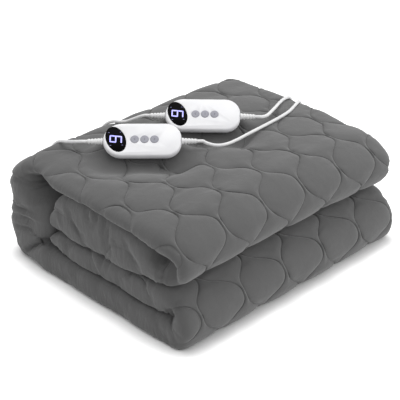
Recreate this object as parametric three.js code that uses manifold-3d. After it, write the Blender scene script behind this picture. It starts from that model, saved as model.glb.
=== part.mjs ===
// Heated mattress pad, folded for storage, with its two hand controllers on top.
// Millimetres, +Z up. The origin is at the middle of the folded pad's footprint, on the surface
// that it rests on. +X runs along the folds, +Y is towards the side that the wrap closes.

import * as THREE from 'three';
import { mergeVertices } from 'three/addons/utils/BufferGeometryUtils.js';
import Module from 'manifold-3d';

const wasm = await Module();
wasm.setup();

// ---- Driving dimensions ------------------------------------------------------------------

const GAP = 0.3;                 // between pieces that touch
const MERGE_DISTANCE = 0.001;    // vertices nearer than this are one
const DISC_SIDES = 28;           // sides of the display and the buttons

// The pad: one packet of plies, folded back and forth. A row is a place on the packet's middle
// line: its y and z, half of the packet's thickness, where the packet ends in x, and how many
// sections are drawn from this row to the next.
const PAD_PATH = [
  { y: 92, z: 62, half: 10, left: -243, right: 238, steps: 1 },    // end of the lower tuck
  { y: 84, z: 61, half: 13, left: -245, right: 240, steps: 1 },
  { y: 60, z: 60, half: 15.5, left: -247, right: 242, steps: 2 },
  { y: -50, z: 61.5, half: 17, left: -248, right: 244, steps: 2 },
  { y: -140, z: 66, half: 21, left: -249, right: 246, steps: 2 },
  { y: -180, z: 66, half: 23, left: -250, right: 248, steps: 2 },  // lower front fold
  { y: -203, z: 42, half: 22, left: -252, right: 252, steps: 3 },
  { y: -191.5, z: 22, half: 25.5, left: -253, right: 254, steps: 1 },
  { y: -140, z: 21, half: 21, left: -254, right: 254, steps: 2 },  // bottom run
  { y: 0, z: 21, half: 21, left: -254, right: 254, steps: 2 },
  { y: 104, z: 21, half: 21, left: -254, right: 254, steps: 1 },
  { y: 138, z: 27, half: 27, left: -254, right: 254, steps: 2 },
  { y: 163, z: 45, half: 55, left: -253, right: 253, steps: 2 },   // back wall
  { y: 166, z: 80, half: 52, left: -253, right: 248, steps: 1 },
  { y: 167, z: 106, half: 51, left: -253, right: 247, steps: 2 },
  { y: 178, z: 138, half: 35, left: -253, right: 246, steps: 2 },
  { y: 162, z: 172, half: 17, left: -253, right: 246, steps: 2 },
  { y: 116, z: 177, half: 11, left: -254, right: 246, steps: 5 },  // top run
  { y: 0, z: 177.5, half: 10.5, left: -254, right: 246, steps: 6 },
  { y: -120, z: 172, half: 13, left: -253, right: 245, steps: 2 },
  { y: -166, z: 164, half: 19, left: -252, right: 243, steps: 2 }, // upper front fold
  { y: -193, z: 140, half: 23, left: -250, right: 241, steps: 2 },
  { y: -166, z: 115, half: 23, left: -249, right: 240, steps: 2 },
  { y: -120, z: 120.5, half: 32, left: -248, right: 239, steps: 2 }, // upper tuck
  { y: -45, z: 121, half: 41.5, left: -247, right: 238, steps: 2 },
  { y: 30, z: 121.5, half: 42, left: -246, right: 236, steps: 2 },
  { y: 66, z: 114, half: 35, left: -245, right: 235, steps: 2 },
  { y: 85, z: 105, half: 25, left: -243, right: 233, steps: 1 },
  { y: 91, z: 101, half: 17, left: -241, right: 230, steps: 0 },
];
const PAD_TOP_RUN_Z = 160;       // the top run's middle line lies above this
const PAD_TOP_RUN_NORMAL = 0.7;  // and its outer side faces up at least this much
const PAD_SHIFT_Y = 2;           // brings the middle of the footprint to the origin
const PAD_HALF_LENGTH = 254;
const PAD_END_ROUND = 24;        // how far in from an end its rounding starts
const PAD_CROWN = 0.05;          // rise of the middle over the ends, as a part of the height
const PAD_CROWN_BACK = 200;      // the crown fades out towards this y
const PAD_CROWN_FRONT = 40;      // and is whole in front of this one
const PAD_RISE = 0.045;          // rise from the left end to the right one
const PAD_COLUMNS = 11;          // columns along the packet between its rounded ends
const PAD_END_STEPS = 6;         // steps round each end of the packet

// A controller: a flat case with a round head at its -X end, drawn face up with the middle of its
// underside at its origin. A level is a height and how far the outline is drawn in there.
const CASE_LENGTH = 127;
const CASE_WIDTH = 62;
const CASE_THICK = 22;
const CASE_TAIL_RADIUS = 26;     // corner radius at the tail
const BASE_LEVELS = [
  { z: 0, inset: 12 },
  { z: 2, inset: 8.4 },
  { z: 6, inset: 4.2 },
  { z: 10, inset: 1.6 },
  { z: 13.5, inset: 0.4 },
];
const COVER_LEVELS = [
  { z: 13.8, inset: 0.35 },
  { z: 16, inset: 0 },
  { z: 19.2, inset: 0.7 },
  { z: 21.2, inset: 2 },
  { z: CASE_THICK, inset: 3.6 },
];
const HEAD_STEPS = 18;           // steps round the head
const TAIL_STEPS = 7;            // steps round each tail corner
const DISPLAY_X = -42.4;
const DISPLAY_HALF_LENGTH = 15.4;  // along the case
const DISPLAY_HALF_WIDTH = 24.2;
const DISPLAY_TURN = THREE.MathUtils.degToRad(22);  // the oval slants
const DISPLAY_DEPTH = 1.6;       // its recess in the cover
const DISPLAY_PROUD = 0.3;
const BUTTON_X = [-12, 4, 20];
const BUTTON_RADIUS = 6.7;
const BUTTON_PROUD = 0.9;
const BUTTON_TRAVEL = 0.8;
const BUTTON_THICK = 3;
const RELIEF_LENGTH = 25.5;
const RELIEF_SIDES = 12;
const RELIEF_Z = 15;             // height of a lead's axis over the underside
const RELIEF_RADII = [5.4, 3.9]; // at the case and at its free end

// Where each controller lies: turn about +Z, then dip of its tail, then lean towards its side.
const CONTROLLERS = [
  { name: 'a', x: -95.7, y: 44.4, z: 204, turn: -44, dip: 0, lean: 36 },
  { name: 'b', x: 39.9, y: 42.8, z: 207.9, turn: -46, dip: 0, lean: 36 },
];
const SEAT_SINK = 2.5;           // how far a controller presses into the quilt
const SEAT_FADE = 32;            // how far its ruck reaches in front of it
const SEAT_FADE_BACK = 14;       // and behind it
const SEAT_INSET = 9;            // the seat's edge, in from the case's outline

// A lead: a round cord from a controller to its coil and from the coil to its plug or connector.
// The mains leads leave the heads, go over the back of the pad and are coiled behind it. The pad
// leads leave the tails, go over the +X end and come back to the connectors sewn to that end.
const CORD_RADIUS = 2.75;
const CORD_SIDES = 8;
const CORD_STEP = 15;            // the longest step of a cord's tube
const CORD_FLOOR = 2.85;         // height of a cord's axis where it lies on the surface
const LEAD_STRAIGHT = 9;         // how far a lead runs straight out of its relief
const COIL_RADIUS = 30;          // middle of a coil's turns
const COIL_SIDES = 28;
const COIL_COLUMNS = 2;          // turns side by side
const COIL_CORNER = 0.6;         // bevel of a coil's corners, as a part of the cord's radius
const LEADS = [
  {
    name: 'mains_lead_a', controller: 'a', end: -1,
    route: [
      [-174, 108.5, 215.8], [-179, 118, 214], [-180, 130, 210.5], [-178, 143, 206],
      [-174.5, 156, 201], [-170.5, 169, 195.3], [-166.5, 182, 187.6], [-163.5, 195, 177.5],
      [-161.5, 206.5, 164], [-160.5, 216.8, 145], [-160, 223.3, 122], [-159.5, 227.7, 98],
      [-158.5, 229.5, 74], [-156.5, 231, 50], [-152.5, 233.5, 29], [-146.5, 239.3, 12],
      [-139, 249, 4], [-134.5, 261.3, CORD_FLOOR],
    ],
    coil: { x: -102, y: 280, rows: 4 },
    tail: [[-81, 312.5, 18], [-68, 310.5, 14.5], [-54, 307.5, 11], [-44.5, 300, 9.5],
      [-43, 294, 9.3], [-43, 290.2, 9.3]],
    plug: { x: -43, y: 289.7, z: 9.3, heading: -1 },
  },
  {
    name: 'mains_lead_b', controller: 'b', end: -1,
    route: [
      [-44, 125, 211.2], [-49, 139, 203.5], [-51, 153, 198.9], [-51.5, 168, 195.5],
      [-52.5, 182, 189.3], [-53, 195.2, 178.7], [-52, 207.6, 165], [-50, 216.8, 147],
      [-47, 223.5, 124], [-43, 227.5, 99],
      [-38, 229, 74], [-32, 230.5, 50], [-25, 233, 29], [-16, 239, 12], [-8, 249, 4],
      [-3.5, 261.3, CORD_FLOOR],
    ],
    coil: { x: 29, y: 280, rows: 4 },
    tail: [[50, 312.5, 18], [63, 310.5, 14.5], [77, 307.5, 11], [86.5, 300, 9.5],
      [88, 294, 9.3], [88, 290.2, 9.3]],
    plug: { x: 88, y: 289.7, z: 9.3, heading: -1 },
  },
  {
    name: 'pad_lead_a', controller: 'a', end: 1,
    route: [
      [-29, -32, 214.3], [-18.5, -39, 208.6], [-4.1, -42.3, 204.2], [14.1, -42.7, 201.4],
      [35, -41.2, 200.2], [53.9, -41, 201.5], [71, -43, 204.5], [90.8, -43, 206],
      [114, -40, 205.6], [138.1, -36.6, 205], [160.6, -32.5, 204.4], [182.7, -26.8, 203.6],
      [205, -17.7, 202.6], [225.3, -8.2, 201.5], [239.5, -1, 198.6], [249.5, 4, 188.6],
      [256, 7, 172], [260, 8, 150], [262, 6, 126], [263, 2, 100], [263.5, -4, 75],
      [264.5, -11, 50], [266, -19, 28], [267.5, -29, 11], [269.3, -42, 3.3],
    ],
    coil: { x: 302, y: -61, rows: 2 },
    tail: [[269.3, -80.3, 9], [267.8, -93, 12], [264, -105, 16.5], [261.3, -113, 20.2],
      [260.9, -118, 21], [260.9, -121.8, 21]],
    connector: { x: 260.9, y: -122.3, z: 21, heading: -1 },
  },
  {
    name: 'pad_lead_b', controller: 'b', end: 1,
    route: [
      [104.4, -33.6, 219], [116.5, -32.6, 217], [134, -24.8, 214], [153.3, -14.3, 210.8],
      [174.6, -3.4, 208], [195.5, 7.1, 206], [213.2, 14.5, 204.8], [228.7, 19.6, 202.6],
      [241.5, 23.5, 198.2], [250.8, 27, 187.6], [256.5, 31, 171.5], [260, 36.5, 150],
      [262.5, 42.5, 125], [263.5, 48.5, 98], [264.5, 54.5, 70], [266, 60, 43], [267.5, 66, 20],
      [269.2, 75.3, 5],
    ],
    coil: { x: 302, y: 95, rows: 2 },
    tail: [[269.3, 114.3, 9], [267.8, 127, 12], [264, 139, 16.5], [261.3, 147, 20.2],
      [260.9, 152, 21], [260.9, 155.8, 21]],
    connector: { x: 260.9, y: 156.3, z: 21, heading: 1 },
  },
];

// What a lead ends in: a body of rounded sections along its axis, each with its distance from the
// cord, half its width and height, and the radius of its corners.
const PLUG_SECTIONS = [
  { along: 0, width: 4, height: 4, corner: 4 },
  { along: 13, width: 5.2, height: 5.2, corner: 5 },
  { along: 18, width: 10.5, height: 7.8, corner: 6 },
  { along: 24, width: 12, height: 9, corner: 6 },
  { along: 40, width: 12.5, height: 9, corner: 5.5 },
  { along: 42, width: 11, height: 7.8, corner: 5 },
];
const CONNECTOR_SECTIONS = [
  { along: 0, width: 3.9, height: 3.9, corner: 3.9 },
  { along: 11, width: 4.6, height: 4.6, corner: 4.4 },
  { along: 13, width: 5.6, height: 9.6, corner: 3 },
  { along: 15, width: 6.5, height: 11, corner: 3 },
  { along: 47, width: 6.5, height: 11, corner: 3 },
  { along: 49, width: 5.4, height: 9.8, corner: 3 },
];
const SECTION_CORNER_STEPS = 4;  // steps round each corner of a section
const BLADE = { width: 1.5, height: 6.3, length: 16, spacing: 12.7 };

// ---- Shapes --------------------------------------------------------------------------------

// A closed mesh from rings of points, each ring joined to the next and the end rings capped.
function loftRings(rings) {
  const count = rings[0].length;
  const positions = rings.flat().flatMap((point) => point.toArray());
  const indices = [];
  for (let ring = 0; ring + 1 < rings.length; ring += 1) {
    for (let k = 0; k < count; k += 1) {
      const a = ring * count + k;
      const b = ring * count + ((k + 1) % count);
      indices.push(a, b, b + count, a, b + count, a + count);
    }
  }
  const last = (rings.length - 1) * count;
  for (let k = 1; k + 1 < count; k += 1) {
    indices.push(0, k + 1, k);
    indices.push(last, last + k, last + k + 1);
  }
  const geometry = new THREE.BufferGeometry();
  geometry.setAttribute('position', new THREE.Float32BufferAttribute(positions, 3));
  geometry.setIndex(indices);
  return geometry;
}

function flipFaces(geometry) {
  const index = geometry.index.array;
  for (let k = 0; k < index.length; k += 3) {
    [index[k], index[k + 1]] = [index[k + 1], index[k]];
  }
}

// ---- Joining and cutting -------------------------------------------------------------------

function toManifold(geometry) {
  const bare = geometry.clone();
  bare.deleteAttribute('normal');
  bare.deleteAttribute('uv');
  const merged = mergeVertices(bare, MERGE_DISTANCE);
  return new wasm.Manifold(new wasm.Mesh({
    numProp: 3,
    vertProperties: new Float32Array(merged.attributes.position.array),
    triVerts: new Uint32Array(merged.index.array),
  }));
}

function toGeometry(manifold) {
  const mesh = manifold.getMesh();
  const geometry = new THREE.BufferGeometry();
  geometry.setAttribute('position', new THREE.Float32BufferAttribute(mesh.vertProperties, 3));
  geometry.setIndex(new THREE.Uint32BufferAttribute(mesh.triVerts, 1));
  return geometry;
}

function cut(geometry, tools) {
  return toGeometry(tools.reduce((rest, tool) => rest.subtract(toManifold(tool)), toManifold(geometry)));
}

// ---- The controllers -----------------------------------------------------------------------

function casePose({ x, y, z, turn, dip, lean }) {
  const angle = THREE.MathUtils.degToRad;
  const turned = new THREE.Matrix4().makeRotationZ(angle(turn));
  turned.multiply(new THREE.Matrix4().makeRotationY(angle(dip)));
  turned.multiply(new THREE.Matrix4().makeRotationX(angle(lean)));
  return new THREE.Matrix4().makeTranslation(x, y, z).multiply(turned);
}

// The case's outline drawn in by some amount: a half circle at the head, two corners at the tail.
function caseOutline(inset) {
  const headRadius = CASE_WIDTH / 2 - inset;
  const headX = -CASE_LENGTH / 2 + CASE_WIDTH / 2;
  const tailRadius = CASE_TAIL_RADIUS - inset;
  const tailX = CASE_LENGTH / 2 - CASE_TAIL_RADIUS;
  const tailY = CASE_WIDTH / 2 - CASE_TAIL_RADIUS;
  const points = [];
  const arc = (x, y, radius, from, sweep, steps) => {
    for (let step = 0; step <= steps; step += 1) {
      const angle = from + (sweep * step) / steps;
      points.push(new THREE.Vector2(x + radius * Math.cos(angle), y + radius * Math.sin(angle)));
    }
  };
  arc(tailX, -tailY, tailRadius, -Math.PI / 2, Math.PI / 2, TAIL_STEPS);
  arc(tailX, tailY, tailRadius, 0, Math.PI / 2, TAIL_STEPS);
  arc(headX, 0, headRadius, Math.PI / 2, Math.PI, HEAD_STEPS);
  return points;
}

// The places that the pad's top has to follow, from the controllers' poses.
const SEATS = CONTROLLERS.map((place) => {
  const pose = casePose(place);
  const along = new THREE.Vector3();
  const across = new THREE.Vector3();
  const normal = new THREE.Vector3();
  pose.extractBasis(along, across, normal);
  const origin = new THREE.Vector3().setFromMatrixPosition(pose);
  return { origin, normal, along, across };
});

// The room that a case takes up in the quilt, a gap larger than the case all round.
function caseRoom(place) {
  const levels = [...BASE_LEVELS, ...COVER_LEVELS];
  const rings = levels.map(({ z, inset }, index) => {
    const grown = index === 0 ? -GAP : z + (index === levels.length - 1 ? GAP : 0);
    return caseOutline(inset - GAP).map((point) => new THREE.Vector3(point.x, point.y, grown));
  });
  return loftRings(rings).applyMatrix4(casePose(place));
}

function caseShell(levels) {
  return loftRings(levels.map(({ z, inset }) => (
    caseOutline(inset).map((point) => new THREE.Vector3(point.x, point.y, z)))));
}

// A disc standing on a height, drawn out to an oval where its two half sizes differ, and turned.
function disc(halfLength, halfWidth, thickness, x, z, turn = 0) {
  const geometry = new THREE.CylinderGeometry(1, 1, thickness, DISC_SIDES);
  geometry.rotateX(Math.PI / 2);
  geometry.scale(halfLength, halfWidth, 1);
  geometry.rotateZ(turn);
  return geometry.translate(x, 0, z + thickness / 2);
}

function coverShell() {
  const recess = disc(DISPLAY_HALF_LENGTH + GAP, DISPLAY_HALF_WIDTH + GAP, CASE_THICK,
    DISPLAY_X, CASE_THICK - DISPLAY_DEPTH, DISPLAY_TURN);
  const wellFloor = CASE_THICK + BUTTON_PROUD - BUTTON_THICK - BUTTON_TRAVEL - GAP;
  const wells = BUTTON_X.map((x) => (
    disc(BUTTON_RADIUS + GAP, BUTTON_RADIUS + GAP, CASE_THICK, x, wellFloor)));
  return cut(caseShell(COVER_LEVELS), [recess, ...wells]);
}

function displayWindow() {
  return disc(DISPLAY_HALF_LENGTH, DISPLAY_HALF_WIDTH, DISPLAY_DEPTH - GAP + DISPLAY_PROUD,
    DISPLAY_X, CASE_THICK - DISPLAY_DEPTH + GAP, DISPLAY_TURN);
}

function button(x) {
  return disc(BUTTON_RADIUS, BUTTON_RADIUS, BUTTON_THICK, x, CASE_THICK + BUTTON_PROUD - BUTTON_THICK);
}

// The tapered strain relief at one end of a case: end is -1 at the head, 1 at the tail.
function relief(end) {
  const geometry = new THREE.CylinderGeometry(RELIEF_RADII[1], RELIEF_RADII[0], RELIEF_LENGTH,
    RELIEF_SIDES);
  geometry.rotateZ(-end * Math.PI / 2);
  return geometry.translate(end * (CASE_LENGTH / 2 + GAP + RELIEF_LENGTH / 2), 0, RELIEF_Z);
}

// ---- The quilted pad ---------------------------------------------------------------------

// How much taller the stack is at a place than at its left end.
function heightScale(x, y) {
  const along = x / PAD_HALF_LENGTH;
  const crown = PAD_CROWN * THREE.MathUtils.smoothstep(-y, -PAD_CROWN_BACK, -PAD_CROWN_FRONT);
  return 1 + crown * (1 - along ** 2) + (PAD_RISE * (1 + along)) / 2;
}

// The ruck of quilt that holds a controller up: near it the top follows the case's underside.
function ruck(x, y, z) {
  let height = z;
  for (const { origin, normal, along, across } of SEATS) {
    const dx = x - origin.x;
    const dy = y - origin.y;
    const halfSeat = CASE_WIDTH / 2 - SEAT_INSET;
    const plane = origin.z - (dx * normal.x + dy * normal.y) / normal.z;
    const under = Math.min(plane, origin.z + halfSeat * across.z);
    const beyondEnd = Math.abs(dx * along.x + dy * along.y) - (CASE_LENGTH / 2 - SEAT_INSET);
    const behind = dx * across.x + dy * across.y;
    const beyond = Math.hypot(Math.max(beyondEnd, 0), Math.max(Math.abs(behind) - halfSeat, 0));
    const fade = THREE.MathUtils.lerp(SEAT_FADE, SEAT_FADE_BACK,
      THREE.MathUtils.smoothstep(behind, -halfSeat, halfSeat));
    const weight = Math.exp(-((beyond / fade) ** 2));
    height = THREE.MathUtils.lerp(height, under + SEAT_SINK, weight);
  }
  return height;
}

// One ring round the packet at a place on its middle line: across the outer side, round the
// left end, back across the inner side and round the right end.
function packetRing(place, normal) {
  const innerLeft = place.left + PAD_END_ROUND;
  const innerRight = place.right - PAD_END_ROUND;
  const outline = [];
  for (let k = 0; k < PAD_COLUMNS; k += 1) {
    const x = THREE.MathUtils.lerp(innerRight, innerLeft, k / (PAD_COLUMNS - 1));
    outline.push({ x, offset: 1 });
  }
  for (let k = 1; k < PAD_END_STEPS; k += 1) {
    const angle = (Math.PI * k) / PAD_END_STEPS;
    outline.push({ x: innerLeft - PAD_END_ROUND * Math.sin(angle), offset: Math.cos(angle) });
  }
  for (let k = 0; k < PAD_COLUMNS; k += 1) {
    const x = THREE.MathUtils.lerp(innerLeft, innerRight, k / (PAD_COLUMNS - 1));
    outline.push({ x, offset: -1 });
  }
  for (let k = 1; k < PAD_END_STEPS; k += 1) {
    const angle = (Math.PI * k) / PAD_END_STEPS;
    outline.push({ x: innerRight + PAD_END_ROUND * Math.sin(angle), offset: -Math.cos(angle) });
  }
  return outline.map(({ x, offset }) => {
    const y = place.y + normal.y * place.half * offset;
    const z = place.z + normal.z * place.half * offset;
    const shifted = y + PAD_SHIFT_Y;
    const height = Math.max(z * heightScale(x, y), 0);
    const onTop = offset === 1 && place.z > PAD_TOP_RUN_Z && normal.z > PAD_TOP_RUN_NORMAL;
    return new THREE.Vector3(x, shifted, onTop ? ruck(x, shifted, height) : height);
  });
}

// The middle line runs smoothly through the rows, and so do the columns that go with it.
function quiltedPad() {
  const line = new THREE.CatmullRomCurve3(
    PAD_PATH.map((row) => new THREE.Vector3(0, row.y, row.z)), false, 'centripetal');
  const sizes = new THREE.CatmullRomCurve3(
    PAD_PATH.map((row) => new THREE.Vector3(row.half, row.left, row.right)), false, 'catmullrom', 0.3);
  const rings = [];
  PAD_PATH.forEach((row, index) => {
    const steps = Math.max(row.steps, 1);
    for (let step = 0; step < steps; step += 1) {
      const at = (index + step / steps) / (PAD_PATH.length - 1);
      if (at > 1) {
        break;
      }
      const middle = line.getPoint(at);
      const size = sizes.getPoint(at);
      const tangent = line.getTangent(at);
      const normal = { y: tangent.z, z: -tangent.y };
      const place = { y: middle.y, z: middle.z, half: size.x, left: size.y, right: size.z };
      rings.push(packetRing(place, normal));
    }
  });
  return loftRings(rings);
}

// ---- Leads ---------------------------------------------------------------------------------

function cordTube(points) {
  const path = new THREE.CatmullRomCurve3(points, false, 'centripetal');
  const section = new THREE.Shape();
  section.absarc(0, 0, CORD_RADIUS, 0, 2 * Math.PI);
  const steps = Math.ceil(path.getLength() / CORD_STEP);
  return new THREE.ExtrudeGeometry(section,
    { steps, extrudePath: path, curveSegments: CORD_SIDES / 2, bevelEnabled: false });
}

// The two points at which a lead leaves its relief and where it may start to bend.
function leadExit({ controller, end }) {
  const pose = casePose(CONTROLLERS.find((place) => place.name === controller));
  const out = CASE_LENGTH / 2 + GAP + RELIEF_LENGTH + GAP;
  return [out, out + LEAD_STRAIGHT].map((distance) => (
    new THREE.Vector3(end * distance, 0, RELIEF_Z).applyMatrix4(pose)));
}

// The outer shape of a coil: a ring as wide and as high as its turns.
function coilRing({ x, y, rows }) {
  const half = COIL_COLUMNS * CORD_RADIUS;
  const bottom = CORD_FLOOR - CORD_RADIUS;
  const height = 2 * CORD_RADIUS * rows;
  const corner = CORD_RADIUS * COIL_CORNER;
  const profile = [
    [-half, corner], [-half + corner, 0], [half - corner, 0], [half, corner],
    [half, height - corner], [half - corner, height], [-half + corner, height],
    [-half, height - corner], [-half, corner],
  ].map(([radial, up]) => new THREE.Vector2(COIL_RADIUS + radial, bottom + up));
  return new THREE.LatheGeometry(profile, COIL_SIDES).rotateX(Math.PI / 2).translate(x, y, 0);
}

// A rounded rectangle across a lead's axis, at a distance along it.
function crossSection({ along, width, height, corner }) {
  const points = [];
  for (const [sideX, sideZ, from] of [[1, 1, 0], [-1, 1, 1], [-1, -1, 2], [1, -1, 3]]) {
    for (let step = 0; step <= SECTION_CORNER_STEPS; step += 1) {
      const angle = (Math.PI / 2) * (from + step / SECTION_CORNER_STEPS);
      const x = sideX * (width - corner) + corner * Math.cos(angle);
      const z = sideZ * (height - corner) + corner * Math.sin(angle);
      points.push(new THREE.Vector3(x, along, z));
    }
  }
  return points;
}

function endBody(sections, { x, y, z, heading }) {
  const geometry = loftRings(sections.map(crossSection));
  if (heading > 0) {
    flipFaces(geometry);
    return geometry.translate(x, y, z);
  }
  return geometry.scale(1, -1, 1).translate(x, y, z);
}

// A blade stands out of a plug's face, side is -1 or 1.
function blade(side, { x, y, z, heading }) {
  const reach = PLUG_SECTIONS.at(-1).along + GAP + BLADE.length / 2;
  const geometry = new THREE.BoxGeometry(BLADE.width, BLADE.length, BLADE.height);
  return geometry.translate(x + (side * BLADE.spacing) / 2, y + heading * reach, z);
}

// ---- The object --------------------------------------------------------------------------

const part = new THREE.Group();

function addPiece(name, geometry, material, pose = new THREE.Matrix4()) {
  const mesh = new THREE.Mesh(geometry, material);
  mesh.name = name;
  mesh.applyMatrix4(pose);
  part.add(mesh);
  return mesh;
}

const quiltedCloth = new THREE.MeshStandardMaterial({ color: 0x6a6a6a, roughness: 0.95, metalness: 0 });
const whitePlastic = () => new THREE.MeshStandardMaterial({ color: 0xf2f2f4, roughness: 0.4, metalness: 0 });
const greyPlastic = () => new THREE.MeshStandardMaterial({ color: 0xa9abb0, roughness: 0.5, metalness: 0 });
const brass = () => new THREE.MeshStandardMaterial({ color: 0xc9a75a, roughness: 0.3, metalness: 1 });
const blackGlass = () => new THREE.MeshStandardMaterial({ color: 0x0a0a0d, roughness: 0.1, metalness: 0 });

addPiece('quilted_pad', cut(quiltedPad(), CONTROLLERS.map(caseRoom)), quiltedCloth);

for (const place of CONTROLLERS) {
  const pose = casePose(place);
  const name = `controller_${place.name}`;
  addPiece(`${name}_base`, caseShell(BASE_LEVELS), whitePlastic(), pose);
  addPiece(`${name}_cover`, coverShell(), whitePlastic(), pose);
  addPiece(`${name}_display`, displayWindow(), blackGlass(), pose);
  BUTTON_X.forEach((x, index) => {
    addPiece(`${name}_button_${index + 1}`, button(x), greyPlastic(), pose);
  });
  addPiece(`${name}_relief_mains`, relief(-1), whitePlastic(), pose);
  addPiece(`${name}_relief_pad`, relief(1), whitePlastic(), pose);
}

for (const lead of LEADS) {
  const toVector = ([x, y, z]) => new THREE.Vector3(x, y, z);
  addPiece(lead.name, cordTube([...leadExit(lead), ...lead.route.map(toVector)]), whitePlastic());
  addPiece(`${lead.name}_coil`, coilRing(lead.coil), whitePlastic());
  addPiece(`${lead.name}_tail`, cordTube(lead.tail.map(toVector)), whitePlastic());
  if (lead.plug) {
    addPiece(`${lead.name}_plug`, endBody(PLUG_SECTIONS, lead.plug), whitePlastic());
    addPiece(`${lead.name}_blade_1`, blade(-1, lead.plug), brass());
    addPiece(`${lead.name}_blade_2`, blade(1, lead.plug), brass());
  } else {
    addPiece(`${lead.name}_connector`, endBody(CONNECTOR_SECTIONS, lead.connector), whitePlastic());
  }
}

export default part;
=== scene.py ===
"""Heated mattress pad folded for storage, with two hand controllers and their leads.

Metres, +Z up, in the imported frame: +X runs along the folds, +Y points to the side that the
outer wrap closes, and the origin is under the middle of the folded pad. The pad is one padded
packet of plies that follows a folded path, the controllers are moulded shells that lie on it,
and the leads are cords of their real length that end in coils, plugs and connectors.
"""

import logging
import math
from collections.abc import Iterable, Sequence
from dataclasses import dataclass, field
from enum import Enum
from typing import Any

import bmesh
import bpy
import numpy as np
from mathutils import Matrix, Vector


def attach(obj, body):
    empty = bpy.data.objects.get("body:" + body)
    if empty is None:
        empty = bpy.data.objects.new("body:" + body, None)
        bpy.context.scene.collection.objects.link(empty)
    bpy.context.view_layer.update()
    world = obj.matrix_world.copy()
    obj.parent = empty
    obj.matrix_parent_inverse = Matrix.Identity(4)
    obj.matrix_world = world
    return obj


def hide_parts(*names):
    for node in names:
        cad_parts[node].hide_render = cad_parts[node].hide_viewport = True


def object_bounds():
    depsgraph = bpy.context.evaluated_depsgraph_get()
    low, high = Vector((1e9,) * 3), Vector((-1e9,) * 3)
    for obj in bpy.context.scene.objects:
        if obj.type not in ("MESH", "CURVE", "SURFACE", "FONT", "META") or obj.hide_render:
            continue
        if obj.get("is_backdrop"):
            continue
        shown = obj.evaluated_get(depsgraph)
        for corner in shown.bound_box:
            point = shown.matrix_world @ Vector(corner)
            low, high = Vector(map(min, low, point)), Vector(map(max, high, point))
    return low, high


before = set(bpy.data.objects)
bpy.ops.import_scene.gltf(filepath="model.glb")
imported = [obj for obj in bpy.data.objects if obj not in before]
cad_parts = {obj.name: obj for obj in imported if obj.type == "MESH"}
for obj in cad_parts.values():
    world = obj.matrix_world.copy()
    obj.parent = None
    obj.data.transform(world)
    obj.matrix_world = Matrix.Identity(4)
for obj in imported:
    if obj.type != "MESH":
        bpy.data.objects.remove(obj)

LOG = logging.getLogger("heated_mattress_pad")
SMOOTH_ANGLE = 32.0
TINY = 1e-6
Array = np.ndarray
Pair = tuple[float, float]
Point = tuple[float, float, float]
Socket = bpy.types.NodeSocket
Material = bpy.types.Material
Piece = bpy.types.Object
Shape = bmesh.types.BMesh


# ---- Small helpers ----


def srgb(hex_colour: str) -> tuple[float, float, float, float]:
    """Turns an sRGB hex colour into a linear RGBA colour.

    Args:
        hex_colour: six hex digits, such as "6a6a6a".

    Returns:
        The colour's linear red, green and blue, and an alpha of 1.
    """
    parts = [int(hex_colour[k : k + 2], 16) / 255 for k in (0, 2, 4)]
    linear = [p / 12.92 if p <= 0.04045 else ((p + 0.055) / 1.055) ** 2.4 for p in parts]
    return (*linear, 1.0)


def smooth_step(value: Array, low: float, high: float) -> Array:
    """Rises smoothly from 0 at low to 1 at high, and may run the other way."""
    share = np.clip((value - low) / (high - low), 0.0, 1.0)
    return share * share * (3 - 2 * share)


class SmoothNoise:
    """Seeded value noise on the plane, from about -1 to 1, with a lattice one unit apart."""

    SIZE = 256

    def __init__(self, seed: int) -> None:
        """Draws the lattice's values from the seed."""
        self.lattice = np.random.default_rng(seed).uniform(-1, 1, (self.SIZE, self.SIZE))

    def __call__(self, x: Array, y: Array) -> Array:
        """Gives the noise at each place, in lattice units.

        Args:
            x: places across, in lattice units.
            y: places down.

        Returns:
            The noise at each place.
        """
        column, row = np.floor(x).astype(int), np.floor(y).astype(int)
        across, down = x - column, y - row
        across, down = across**2 * (3 - 2 * across), down**2 * (3 - 2 * down)
        corner = [
            self.lattice[(row + i) % self.SIZE, (column + j) % self.SIZE]
            for i in (0, 1)
            for j in (0, 1)
        ]
        near = corner[0] + (corner[1] - corner[0]) * across
        far = corner[2] + (corner[3] - corner[2]) * across
        return near + (far - near) * down


def tangents(points: Array, tension: float | None = None) -> tuple[Array, Array]:
    """Gives a Catmull-Rom curve's tangents at both ends of each of its pieces.

    Args:
        points: the points that the curve runs through, one to a row.
        tension: the curve's tension, or None for the centripetal curve.

    Returns:
        The tangents where the pieces start and where they end, each scaled to its piece.
    """
    padded = np.vstack([2 * points[0] - points[1], points, 2 * points[-1] - points[-2]])
    before, start, end, after = (padded[k : len(points) - 1 + k] for k in range(4))
    if tension is not None:
        return tension * (end - before), tension * (after - start)
    gaps = [
        np.maximum(((b - a) ** 2).sum(1)[:, None] ** 0.25, TINY)
        for a, b in ((before, start), (start, end), (end, after))
    ]
    outward = (start - before) / gaps[0] - (end - before) / (gaps[0] + gaps[1])
    outward = (outward + (end - start) / gaps[1]) * gaps[1]
    inward = (end - start) / gaps[1] - (after - start) / (gaps[1] + gaps[2])
    inward = (inward + (after - end) / gaps[2]) * gaps[1]
    return outward, inward


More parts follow.
